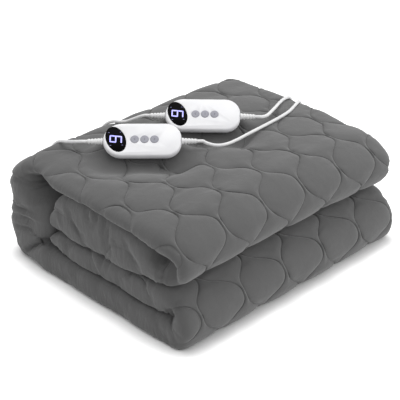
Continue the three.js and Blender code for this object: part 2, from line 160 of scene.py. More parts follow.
def catmull_rom(points: Array, at: Array, tension: float | None = None) -> Array:
    """Samples a Catmull-Rom curve that runs through every point.

    Args:
        points: the points, one to a row.
        at: places from 0 at the first point to 1 at the last.
        tension: the curve's tension, or None for the centripetal curve.

    Returns:
        The curve's points at those places.
    """
    points = np.asarray(points, float)
    place = np.clip(at, 0, 1) * (len(points) - 1)
    index = np.minimum(np.floor(place).astype(int), len(points) - 2)
    weight = (place - index)[:, None]
    start, end = points[index], points[index + 1]
    outward, inward = (side[index] for side in tangents(points, tension))
    square = 3 * (end - start) - 2 * outward - inward
    cube = 2 * (start - end) + outward + inward
    return start + weight * (outward + weight * (square + weight * cube))


def resample(points: Array, step: float, fineness: int = 40) -> Array:
    """Gives points a step apart along a curve that runs through every point.

    Args:
        points: the points that it runs through.
        step: about how far apart the new points are.
        fineness: how many places on the curve are measured for each of the points.

    Returns:
        The new points.
    """
    dense = catmull_rom(points, np.linspace(0, 1, fineness * len(points)))
    length = np.concatenate([[0], np.cumsum(np.linalg.norm(np.diff(dense, axis=0), axis=1))])
    places = np.linspace(0, length[-1], max(int(length[-1] / step), 2) + 1)
    return np.stack([np.interp(places, length, dense[:, k]) for k in range(3)], axis=1)


def curve_length(points: Array) -> float:
    """Adds up the distances between successive points."""
    return float(np.linalg.norm(np.diff(points, axis=0), axis=1).sum())


def put_in_scene(name: str, data: Any) -> Piece:
    """Makes an object of a mesh, curve, lamp or camera and puts it into the scene."""
    made = bpy.data.objects.new(name, data)
    bpy.context.scene.collection.objects.link(made)
    return made


def finish_mesh(
    bm: Shape, name: str, material: Material, pose: Matrix | None = None,
    smooth_angle: float = SMOOTH_ANGLE,
) -> Piece:
    """Turns a bmesh into an object at the origin, with its place in its mesh.

    Args:
        bm: the shape, which is freed.
        name: the piece's name.
        material: the finish of the whole piece.
        pose: where the piece goes, or None where it is made in place.
        smooth_angle: edges sharper than this, in degrees, are drawn sharp.

    Returns:
        The new object.
    """
    if pose is not None:
        bmesh.ops.transform(bm, matrix=pose, verts=bm.verts)
    bmesh.ops.recalc_face_normals(bm, faces=bm.faces)
    mesh = bpy.data.meshes.new(name)
    bm.to_mesh(mesh)
    bm.free()
    mesh.materials.append(material)
    mesh.shade_smooth()
    mesh.set_sharp_from_angle(angle=math.radians(smooth_angle))
    return put_in_scene(name, mesh)


def apply_modifiers(piece: Piece) -> None:
    """Bakes a piece's modifiers into its mesh.

    Args:
        piece: the piece, whose modifiers are taken off.
    """
    graph = bpy.context.evaluated_depsgraph_get()
    baked = bpy.data.meshes.new_from_object(piece.evaluated_get(graph))
    piece.modifiers.clear()
    old, piece.data = piece.data, baked
    bpy.data.meshes.remove(old)


def fill_ends(bm: Shape) -> None:
    """Fills each open end of a skin with one face."""
    bmesh.ops.holes_fill(bm, edges=[edge for edge in bm.edges if edge.is_boundary], sides=0)


def skin(points: Array, close_ends: bool = True, maps: dict[str, Array] | None = None) -> Shape:
    """Lays a grid over rows of points, whose first and last columns meet.

    Args:
        points: the points, as rows of columns.
        close_ends: whether the first and last rows are filled with a face.
        maps: UV maps by name, each as rows of columns.

    Returns:
        The closed skin.
    """
    rows, columns = points.shape[:2]
    bm = bmesh.new()
    bmesh.ops.create_grid(bm, x_segments=columns - 1, y_segments=rows - 1, size=0.5)
    places = {}
    for vertex in bm.verts:
        column = round((vertex.co.x + 0.5) * (columns - 1))
        row = round((vertex.co.y + 0.5) * (rows - 1))
        places[vertex] = (row, column)
        vertex.co = points[row, column]
    for name, values in (maps or {}).items():
        layer = bm.loops.layers.uv.new(name)
        for face in bm.faces:
            for loop in face.loops:
                loop[layer].uv = values[places[loop.vert]]
    bmesh.ops.remove_doubles(bm, verts=bm.verts, dist=TINY)
    if close_ends:
        fill_ends(bm)
    return bm


def disc_mesh(
    half_length: float, half_width: float, low: float, high: float, x: float, sides: int,
    turn: float = 0.0,
) -> Shape:
    """Makes a disc or turned oval on the case's middle line.

    Args:
        half_length: half of its length along X, before it is turned.
        half_width: half of its width.
        low: the height of its underside.
        high: the height of its top.
        x: where its middle lies.
        sides: how many sides its outline has.
        turn: how far it is turned about Z, in degrees.

    Returns:
        The closed shape.
    """
    bm = bmesh.new()
    bmesh.ops.create_cone(
        bm, cap_ends=True, segments=sides, radius1=1.0, radius2=1.0, depth=high - low
    )
    bmesh.ops.scale(bm, vec=(half_length, half_width, 1.0), verts=bm.verts)
    turned = Matrix.Rotation(math.radians(turn), 3, "Z")
    bmesh.ops.rotate(bm, cent=(0.0, 0.0, 0.0), matrix=turned, verts=bm.verts)
    bmesh.ops.translate(bm, vec=(x, 0.0, (low + high) / 2), verts=bm.verts)
    return bm


def round_edges(bm: Shape, edges: Sequence[bmesh.types.BMEdge], radius: float) -> None:
    """Rounds some edges of a shape."""
    bmesh.ops.bevel(
        bm, geom=edges, offset=radius, offset_type="OFFSET", segments=4, profile=0.5,
        affect="EDGES", material=-1, clamp_overlap=True,
    )


def round_top(bm: Shape, top: float, radius: float) -> None:
    """Rounds the edges round a shape's flat top, which lies at the height top."""
    edges = [edge for edge in bm.edges if all(v.co.z > top - TINY for v in edge.verts)]
    round_edges(bm, edges, radius)


def cut_out(piece: Piece, cutters: Iterable[Shape]) -> None:
    """Cuts closed shapes out of a piece.

    Args:
        piece: what is cut.
        cutters: the shapes, in the piece's own frame, which are freed.
    """
    for cutter in cutters:
        mesh = bpy.data.meshes.new("cutter")
        cutter.to_mesh(mesh)
        cutter.free()
        tool = put_in_scene("cutter", mesh)
        cut = piece.modifiers.new("cut", "BOOLEAN")
        cut.operation, cut.solver, cut.object = "DIFFERENCE", "EXACT", tool
        apply_modifiers(piece)
        bpy.data.objects.remove(tool)
        bpy.data.meshes.remove(mesh)


def add_bar(bm: Shape, ends: Sequence[Pair], width: float, z: float, rise: float) -> None:
    """Adds a thin bar with rounded ends between two places.

    Args:
        bm: what it is added to.
        ends: the middles of its two ends, as x and y.
        width: its width.
        z: the height of its underside.
        rise: its thickness.
    """
    start, stop = (np.array(end) for end in ends)
    along = stop - start
    turn = math.atan2(along[1], along[0])
    reach = float(np.linalg.norm(along)) / 2
    made = bmesh.ops.create_cone(
        bm, cap_ends=True, segments=16, radius1=width / 2, radius2=width / 2, depth=rise
    )["verts"]
    for vertex in made:
        vertex.co.x += math.copysign(reach, vertex.co.x) if abs(vertex.co.x) > TINY else 0.0
    middle = Matrix.Translation((*(start + stop) / 2, z + rise / 2))
    bmesh.ops.transform(bm, matrix=middle @ Matrix.Rotation(turn, 4, "Z"), verts=made)


def spin_profile(profile: Sequence[Pair], steps: int) -> Shape:
    """Spins a profile of (x, radius) places round the X axis into a closed body.

    Args:
        profile: the places, from one end to the other.
        steps: how many sides the body has.

    Returns:
        The closed body.
    """
    bm = bmesh.new()
    line = [bm.verts.new((x, radius, 0.0)) for x, radius in profile]
    edges = [bm.edges.new(pair) for pair in zip(line[:-1], line[1:])]
    bmesh.ops.spin(
        bm, geom=[*line, *edges], cent=(0, 0, 0), axis=(1, 0, 0), angle=2 * math.pi,
        steps=steps, use_merge=True,
    )
    bmesh.ops.remove_doubles(bm, verts=bm.verts, dist=TINY)
    fill_ends(bm)
    return bm


def report(piece: Piece, body: str, slot: str, nodes: Iterable[str] = ()) -> None:
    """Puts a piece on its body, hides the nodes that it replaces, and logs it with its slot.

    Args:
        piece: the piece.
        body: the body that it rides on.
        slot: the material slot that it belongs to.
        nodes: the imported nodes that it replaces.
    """
    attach(piece, body)
    nodes = list(nodes)
    if nodes:
        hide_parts(*nodes)
    LOG.info("%s rides on %s as %s", piece.name, body, slot)


# ---- Materials ----


@dataclass(frozen=True)
class Relief:
    """A bump on a surface: its strength, and its depth in metres."""

    strength: float
    depth: float


class NodeTree:
    """The node tree of a material or world, built one node at a time."""

    def __init__(self, owner: Any, output: str) -> None:
        """Clears the tree and adds its output.

        Args:
            owner: the material or world.
            output: the output's type without its "ShaderNode" start.
        """
        owner.use_nodes = True
        self.tree = owner.node_tree
        self.tree.nodes.clear()
        self.output = self.tree.nodes.new("ShaderNode" + output)

    def node(
        self, kind: str, inputs: dict[Any, Any] | Sequence[Any] = (), out: int | str = 0,
        stops: Sequence[tuple[float, str]] = (), **settings: Any,
    ) -> Socket:
        """Adds a node with its settings and links.

        Args:
            kind: the node's type without its "ShaderNode" start.
            inputs: values or other nodes' sockets, in order or by the input's name or number.
            out: the name or number of the output that is wanted.
            stops: a colour ramp's two stops, each with its place and its sRGB hex colour.
            settings: the node's own properties.

        Returns:
            That output.
        """
        made = self.tree.nodes.new("ShaderNode" + kind)
        for key, value in settings.items():
            setattr(made, key, value)
        for number, (place, colour) in enumerate(stops):
            element = made.color_ramp.elements[number]
            element.position, element.color = place, srgb(colour)
        for key, value in (inputs if isinstance(inputs, dict) else dict(enumerate(inputs))).items():
            if isinstance(value, Socket):
                self.tree.links.new(value, made.inputs[key])
            else:
                made.inputs[key].default_value = value
        return made.outputs[out]

    def end_in(self, shader: Socket) -> None:
        """Links a shader to the output."""
        self.tree.links.new(shader, self.output.inputs["Surface"])


class Shader(NodeTree):
    """A new material's node tree."""

    def __init__(self, name: str) -> None:
        """Starts a material of that name with nothing but its output."""
        self.material = bpy.data.materials.new(name)
        super().__init__(self.material, "OutputMaterial")

    def surface(self, shader: Socket) -> Material:
        """Links a shader to the output and gives the material."""
        self.end_in(shader)
        return self.material


@dataclass(frozen=True)
class BrushedMicrofibre:
    """Quilted polyester microfibre: a matt, slightly fuzzy knit with lock-stitched lines.

    The nap scatters light so widely that the cloth looks flat, with a pale sheen at grazing
    angles. The stitches sit in a narrow furrow, darkened with painted shade where the groove's
    shade falls. The real yarn is 0.2 mm thick, too fine to show, so the nap is drawn at about
    1.2 mm. The ends are gathered into upright puckers, and the rest ripples a little.
    """

    colour: str = "656565"
    dark: str = "606060"
    tone_stops: Pair = (0.2, 0.75)
    tone_offset: float = 0.2
    cloud_scale: float = 14.0
    cloud_share: float = 0.35
    nap: float = 0.0012
    nap_relief: Relief = Relief(0.35, 0.00048)
    # Painted shade: the furrow colour darkens the stitched grooves, standing in for the shade that
    # falls in them.
    furrow: str = "505050"
    furrow_shade_share: float = 0.22
    furrow_width: float = 0.0016
    furrow_floor: float = 0.00032
    furrow_relief: Relief = Relief(0.55, 0.0016)
    thread_width: float = 0.0006
    thread_height: float = 0.5
    stitch: float = 0.0032
    gather_scale: Point = (0.0, 1 / 0.011, 1 / 0.038)
    gather_relief: Relief = Relief(0.8, 0.0024)
    ripple: float = 0.016
    ripple_relief: Relief = Relief(0.7, 0.0011)
    roughness: float = 0.95
    specular: float = 0.2
    sheen: float = 0.3
    sheen_roughness: float = 0.5

    def build(self, pattern: "OgeeQuilting") -> Material:
        """Makes the cloth's material.

        Args:
            pattern: the quilting, whose lines the stitches follow.

        Returns:
            The material.
        """
        shader = Shader("brushed_microfibre_cloth")
        node = shader.node
        flat = node("UVMap", uv_map=pattern.FLAT_MAP)
        strength = node("SeparateXYZ", [node("UVMap", uv_map=pattern.STRENGTH_MAP)])
        away, along = pattern.line_distance(shader)
        fuzz = node(
            "TexNoise", {"Vector": flat, "Scale": 1 / self.nap, "Detail": 3.0, "Roughness": 0.65}
        )
        cloud = node("TexNoise", {"Vector": flat, "Scale": self.cloud_scale, "Detail": 2.0})
        tone = node("Math", (cloud, self.cloud_share, fuzz), operation="MULTIPLY_ADD")
        tone = node("Math", (tone, self.tone_offset), operation="SUBTRACT")
        body = node("ValToRGB", [tone], stops=tuple(zip(self.tone_stops, (self.dark, self.colour))))
        in_furrow = node(
            "MapRange",
            {"Value": away, "From Min": self.furrow_width, "From Max": self.furrow_floor},
            interpolation_type="SMOOTHSTEP",
        )
        in_furrow = node("Math", (in_furrow, strength), operation="MULTIPLY")
        # Painted shade: in each furrow the cloth's colour is drawn towards the furrow colour by
        # this share.
        painted_furrow_shade = node("Math", (in_furrow, self.furrow_shade_share), operation="MULTIPLY")
        colour = node("Mix", {0: painted_furrow_shade, 6: body, 7: srgb(self.furrow)}, out=2, data_type="RGBA")
        beat = node("Math", (along, self.stitch / 2), operation="DIVIDE")
        beat = node("Math", (beat, 1.0), operation="PINGPONG")
        beat = node("Math", (beat, 0.5), operation="POWER")
        thread = node("MapRange", {"Value": away, "From Min": self.thread_width, "From Max": 0.0})
        bead = node("Math", (thread, beat), operation="MULTIPLY")
        height = node("Math", (in_furrow, -1.0), operation="MULTIPLY")
        height = node("Math", (bead, self.thread_height, height), operation="MULTIPLY_ADD")
        place = node("TexCoord", out="Object")
        stretched = node("VectorMath", (place, self.gather_scale), operation="MULTIPLY")
        gathers = node(
            "TexNoise", {"Vector": stretched, "Scale": 1.0, "Detail": 2.5, "Distortion": 0.9}
        )
        at_end = node("Math", (1.0, strength), operation="SUBTRACT")
        gathers = node("Math", (gathers, at_end), operation="MULTIPLY")
        ripples = node(
            "TexNoise",
            {"Vector": place, "Scale": 1 / self.ripple, "Detail": 1.5, "Distortion": 0.6},
        )
        # The coarse reliefs carry the finer ones.
        normal = None
        for level, relief in (
            (height, self.furrow_relief), (gathers, self.gather_relief),
            (ripples, self.ripple_relief), (fuzz, self.nap_relief),
        ):
            inputs = {"Height": level, "Strength": relief.strength, "Distance": relief.depth}
            normal = node("Bump", inputs if normal is None else {**inputs, "Normal": normal})
        return shader.surface(node("BsdfPrincipled", {
            "Base Color": colour,
            "Roughness": self.roughness,
            "IOR": 1.45,
            "Specular IOR Level": self.specular,
            "Sheen Weight": self.sheen,
            "Sheen Roughness": self.sheen_roughness,
            "Normal": normal,
        }))


@dataclass(frozen=True)
class MouldedPlastic:
    """An injection-moulded thermoplastic part, such as an ABS case or a soft PVC lead.

    The tool's fine spark texture breaks up the highlight, and colour is almost even, with a
    faint cloud where the melt flowed.
    """

    name: str
    colour: str
    shade: str
    roughness: float
    grain: float = 0.0006
    relief: Relief = Relief(0.25, 0.00004)
    uneven: float = 0.05
    flow_scale: float = 40.0
    coat: float = 0.0
    coat_roughness: float = 0.15
    specular: float = 0.5

    def build(self) -> Material:
        """Makes the plastic's material.

        Returns:
            The material.
        """
        shader = Shader(self.name)
        node = shader.node
        place = node("TexCoord", out="Object")
        spark = node("TexNoise", {"Vector": place, "Scale": 1 / self.grain, "Detail": 2.0})
        flow = node("TexNoise", {"Vector": place, "Scale": self.flow_scale, "Detail": 1.0})
        low, high = self.roughness - self.uneven, self.roughness + self.uneven
        return shader.surface(node("BsdfPrincipled", {
            "Base Color": node("ValToRGB", [flow], stops=((0.35, self.shade), (0.65, self.colour))),
            "Roughness": node("MapRange", {"Value": spark, "To Min": low, "To Max": high}),
            "IOR": 1.5,
            "Specular IOR Level": self.specular,
            "Coat Weight": self.coat,
            "Coat Roughness": self.coat_roughness,
            "Normal": node("Bump", {"Height": spark, "Strength": self.relief.strength,
                                    "Distance": self.relief.depth}),
        }))


@dataclass(frozen=True)
class RolledBrass:
    """Rolled brass strip: bright, with fine scratches along the strip from insertion."""

    colour: str = "d8bf7c"
    dark: str = "b3975a"
    scratch: float = 0.0004
    stretch: Point = (1.0, 0.06, 1.0)
    relief: Relief = Relief(0.15, 0.00002)
    roughness: float = 0.28

    def build(self) -> Material:
        """Makes the brass.

        Returns:
            The material.
        """
        shader = Shader("rolled_brass_strip")
        node = shader.node
        place = node("TexCoord", out="Object")
        drawn = node("Mapping", {"Vector": place, "Scale": self.stretch})
        lines = node("TexNoise", {"Vector": drawn, "Scale": 1 / self.scratch, "Detail": 2.0})
        return shader.surface(node("BsdfPrincipled", {
            "Base Color": node("ValToRGB", [lines], stops=((0.35, self.dark), (0.6, self.colour))),
            "Metallic": 1.0,
            "Roughness": self.roughness,
            "Normal": node("Bump", {"Height": lines, "Strength": self.relief.strength,
                                    "Distance": self.relief.depth}),
        }))


@dataclass(frozen=True)
class LitSegment:
    """A segment glowing behind a dark window, even with a paler middle; on the guide marks the glow
    is painted.
    """

    name: str
    colour: str
    strength: float
    pale: str = "c9c8ff"
    lens: str = "101018"
    roughness: float = 0.4
    cell_scale: float = 400.0

    def build(self) -> Material:
        """Makes the glowing surface.

        Returns:
            The material.
        """
        shader = Shader(self.name)
        node = shader.node
        place = node("TexCoord", out="Object")
        cells = node("TexNoise", {"Vector": place, "Scale": self.cell_scale})
        glow = node("ValToRGB", [cells], stops=((0.3, self.colour), (0.7, self.pale)))
        return shader.surface(node("BsdfPrincipled", {
            "Base Color": srgb(self.lens),
            "Roughness": self.roughness,
            "Emission Color": glow,
            "Emission Strength": self.strength,
        }))


class Finish(Enum):
    """The plain plastics, each with the piece that it is moulded into."""

    CASE = MouldedPlastic("moulded_white_abs", "f4f4f6", "efeff2", 0.34, coat=0.25)
    WINDOW = MouldedPlastic(
        "polished_black_acrylic", "030304", "020203", 0.22, relief=Relief(0.25, 0.0), specular=0.04
    )
    BUTTON = MouldedPlastic("moulded_grey_silicone", "a7a7b0", "9f9fa9", 0.55)
    MARK = MouldedPlastic("printed_grey_ink", "6f6f7a", "696974", 0.6)
    LEAD = MouldedPlastic("extruded_white_pvc", "f1f1f1", "ebebec", 0.45)


# ---- The quilting ----


@dataclass(frozen=True)
class NeckRow:
    """A row of necks, where each line of the quilting comes close to its neighbour.

    Attributes:
        row: the row's number, counted along the packet's outer side.
        along: how far along the outer side it lies, in metres.
        start: the x of the line numbered 0, before it swings.
        pitch: the distance between lines of the same kind.
    """

    row: float
    along: float
    start: float
    pitch: float


@dataclass(frozen=True)
class OgeeQuilting:
    """Wavy lines that bulge apart and neck together, stitched through all the plies.

    Lines come in two kinds, half a pitch apart, that swing opposite ways. The rows are as
    uneven as a machine-quilted, washed and folded cloth makes them.
    """

    FLAT_MAP = "flat"
    PATTERN_MAP = "pattern"
    STRENGTH_MAP = "strength"
    MEAN_PITCH = 0.089
    MEAN_SPACING = 0.064
    LINE_STRETCH = 1.2
    SOFT_SAMPLES = 5

    swing: float = 0.222
    sharpness: float = 0.8
    softness: float = 0.014
    rows: tuple[NeckRow, ...] = (
        NeckRow(-6, 0.005, -0.030, 0.090),
        NeckRow(-2, 0.265, -0.034, 0.092),
        NeckRow(-1, 0.328, -0.011, 0.092),
        NeckRow(0, 0.396, -0.010, 0.092),
        NeckRow(6, 0.800, -0.018, 0.088),
        NeckRow(11, 1.134, -0.024, 0.084),
        NeckRow(12, 1.198, -0.030, 0.086),
        NeckRow(13, 1.264, -0.0385, 0.086),
        NeckRow(14, 1.325, -0.0385, 0.090),
        NeckRow(15, 1.388, -0.044, 0.087),
        NeckRow(16, 1.458, -0.034, 0.091),
        NeckRow(21, 1.790, -0.034, 0.091),
    )

    def wave(self, row: Array) -> Array:
        """Gives the lines' swing, 1 at even rows and -1 at odd ones, flattened at both."""
        turn = np.cos(np.pi * row)
        return self.sharpness * np.sin(np.pi / 2 * turn) + (1 - self.sharpness) * turn

    def slope(self, row: Array) -> Array:
        """Gives how far the lines move sideways for each step along the packet.

        Args:
            row: the rows.

        Returns:
            The slope at each row.
        """
        turn = np.cos(np.pi * row)
        rate = self.sharpness * np.cos(np.pi / 2 * turn) * np.pi / 2 + (1 - self.sharpness)
        rate = rate * np.pi * np.sin(np.pi * row)
        return rate * self.swing * self.MEAN_PITCH / self.MEAN_SPACING

    def smooth_table(self, along: Array) -> tuple[Array, Array, Array]:
        """Gives the row, the start and the pitch at distances along the outer side.

        Args:
            along: the distances, in metres.

        Returns:
            The row, the start and the pitch at each.
        """
        table = np.array([(r.row, r.along, r.start, r.pitch) for r in self.rows])
        shifts = np.linspace(-self.softness, self.softness, self.SOFT_SAMPLES)
        places = [along + shift for shift in shifts]
        return tuple(
            np.mean([np.interp(place, table[:, 1], table[:, k]) for place in places], axis=0)
            for k in (0, 2, 3)
        )

    def coordinates(self, along: Array, across: Array) -> tuple[Array, Array]:
        """Gives the pattern's own coordinates.

        Args:
            along: how far along the packet's outer side each place lies.
            across: its x, unrolled over the packet's ends.

        Returns:
            The pitches across and the rows along, at each place.
        """
        row, start, pitch = self.smooth_table(along)
        return (across - start) / pitch, row

    def distances(self, pitches: Array, rows: Array) -> tuple[Array, Array]:
        """Gives the distance in metres to the nearest line of each kind.

        Args:
            pitches: the pitches across.
            rows: the rows along.

        Returns:
            The distances for the two kinds of line.
        """
        swing = self.swing * self.wave(rows)
        steepness = np.sqrt(1 + self.slope(rows) ** 2)
        places = (pitches - swing, pitches - 0.5 + swing)
        return tuple(np.abs(p - np.round(p)) * self.MEAN_PITCH / steepness for p in places)

    def line_distance(self, shader: Shader) -> tuple[Socket, Socket]:
        """Adds the nodes that measure the distance to the nearest line, as distances does.

        Args:
            shader: the material's node tree.

        Returns:
            Sockets with the distance to the line and the length along it, in metres.
        """
        node = shader.node
        pattern = node("UVMap", uv_map=self.PATTERN_MAP)
        pitches = node("SeparateXYZ", [pattern])
        rows = node("SeparateXYZ", [pattern], out=1)
        phase = node("Math", (rows, math.pi), operation="MULTIPLY")
        turn = node("Math", (phase,), operation="COSINE")
        bent = node("Math", (turn, math.pi / 2), operation="MULTIPLY")
        wave = node("Math", (turn, 1 - self.sharpness), operation="MULTIPLY")
        sharp = node("Math", (bent,), operation="SINE")
        wave = node("Math", (sharp, self.sharpness, wave), operation="MULTIPLY_ADD")
        swing = node("Math", (wave, self.swing), operation="MULTIPLY")
        rate = node(
            "Math",
            (node("Math", (bent,), operation="COSINE"), self.sharpness * math.pi / 2,
             1 - self.sharpness),
            operation="MULTIPLY_ADD",
        )
        reach = math.pi * self.swing * self.MEAN_PITCH / self.MEAN_SPACING
        for factor in (node("Math", (phase,), operation="SINE"), reach):
            rate = node("Math", (rate, factor), operation="MULTIPLY")
        steep = node("Math", (rate, rate, 1.0), operation="MULTIPLY_ADD")
        steep = node("Math", (steep,), operation="SQRT")
        gaps = []
        for offset, operation in ((0.0, "SUBTRACT"), (0.5, "ADD")):
            place = node("Math", (pitches, offset), operation="SUBTRACT")
            place = node("Math", (place, swing), operation=operation)
            line = node("Math", (place,), operation="ROUND")
            gap = node("Math", (place, line), operation="SUBTRACT")
            gaps.append(node("Math", (gap,), operation="ABSOLUTE"))
        away = node("Math", gaps, operation="MINIMUM")
        away = node("Math", (away, steep), operation="DIVIDE")
        away = node("Math", (away, self.MEAN_PITCH), operation="MULTIPLY")
        stretch = self.MEAN_SPACING * self.LINE_STRETCH
        return away, node("Math", (rows, stretch), operation="MULTIPLY")


# ---- The folded pad ----


@dataclass(frozen=True)
class FoldRow:
    """A place on the packet's middle line.

    Attributes:
        y: its place across the folds.
        z: its height.
        half: half of the packet's thickness there.
        left: the x where the packet ends on the left.
        right: the x where it ends on the right.
        rings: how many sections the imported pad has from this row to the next.
        square: how square its ends are, 2 for an ellipse.
        swell: how much thicker its ends are, as a share of its thickness.
    """

    y: float
    z: float
    half: float
    left: float
    right: float
    rings: int
    square: float = 2.6
    swell: float = 0.0


class Face(Enum):
    """A face of the bundle that is creased, with the two axes that place its creases."""

    TOP = (0, 1)
    LEFT_END = (1, 2)


@dataclass(frozen=True)
class Crease:
    """A soft furrow in the cloth.

    Attributes:
        points: the places that it runs through, by its face's two axes.
        depth: how deep it is.
        width: how far its sides reach.
    """

    points: tuple[Pair, ...]
    depth: float
    width: float


@dataclass(frozen=True)
class Hollow:
    """A place where the left end sinks into the bundle.

    Attributes:
        y: its middle across the folds.
        z: its middle's height.
        reach: how far it spreads across the folds and upwards.
        depth: how far in its middle lies, less than 0 where it bulges.
        rows: the path's rows between which the cloth sinks.
    """

    y: float
    z: float
    reach: Pair
    depth: float
    rows: tuple[int, int]


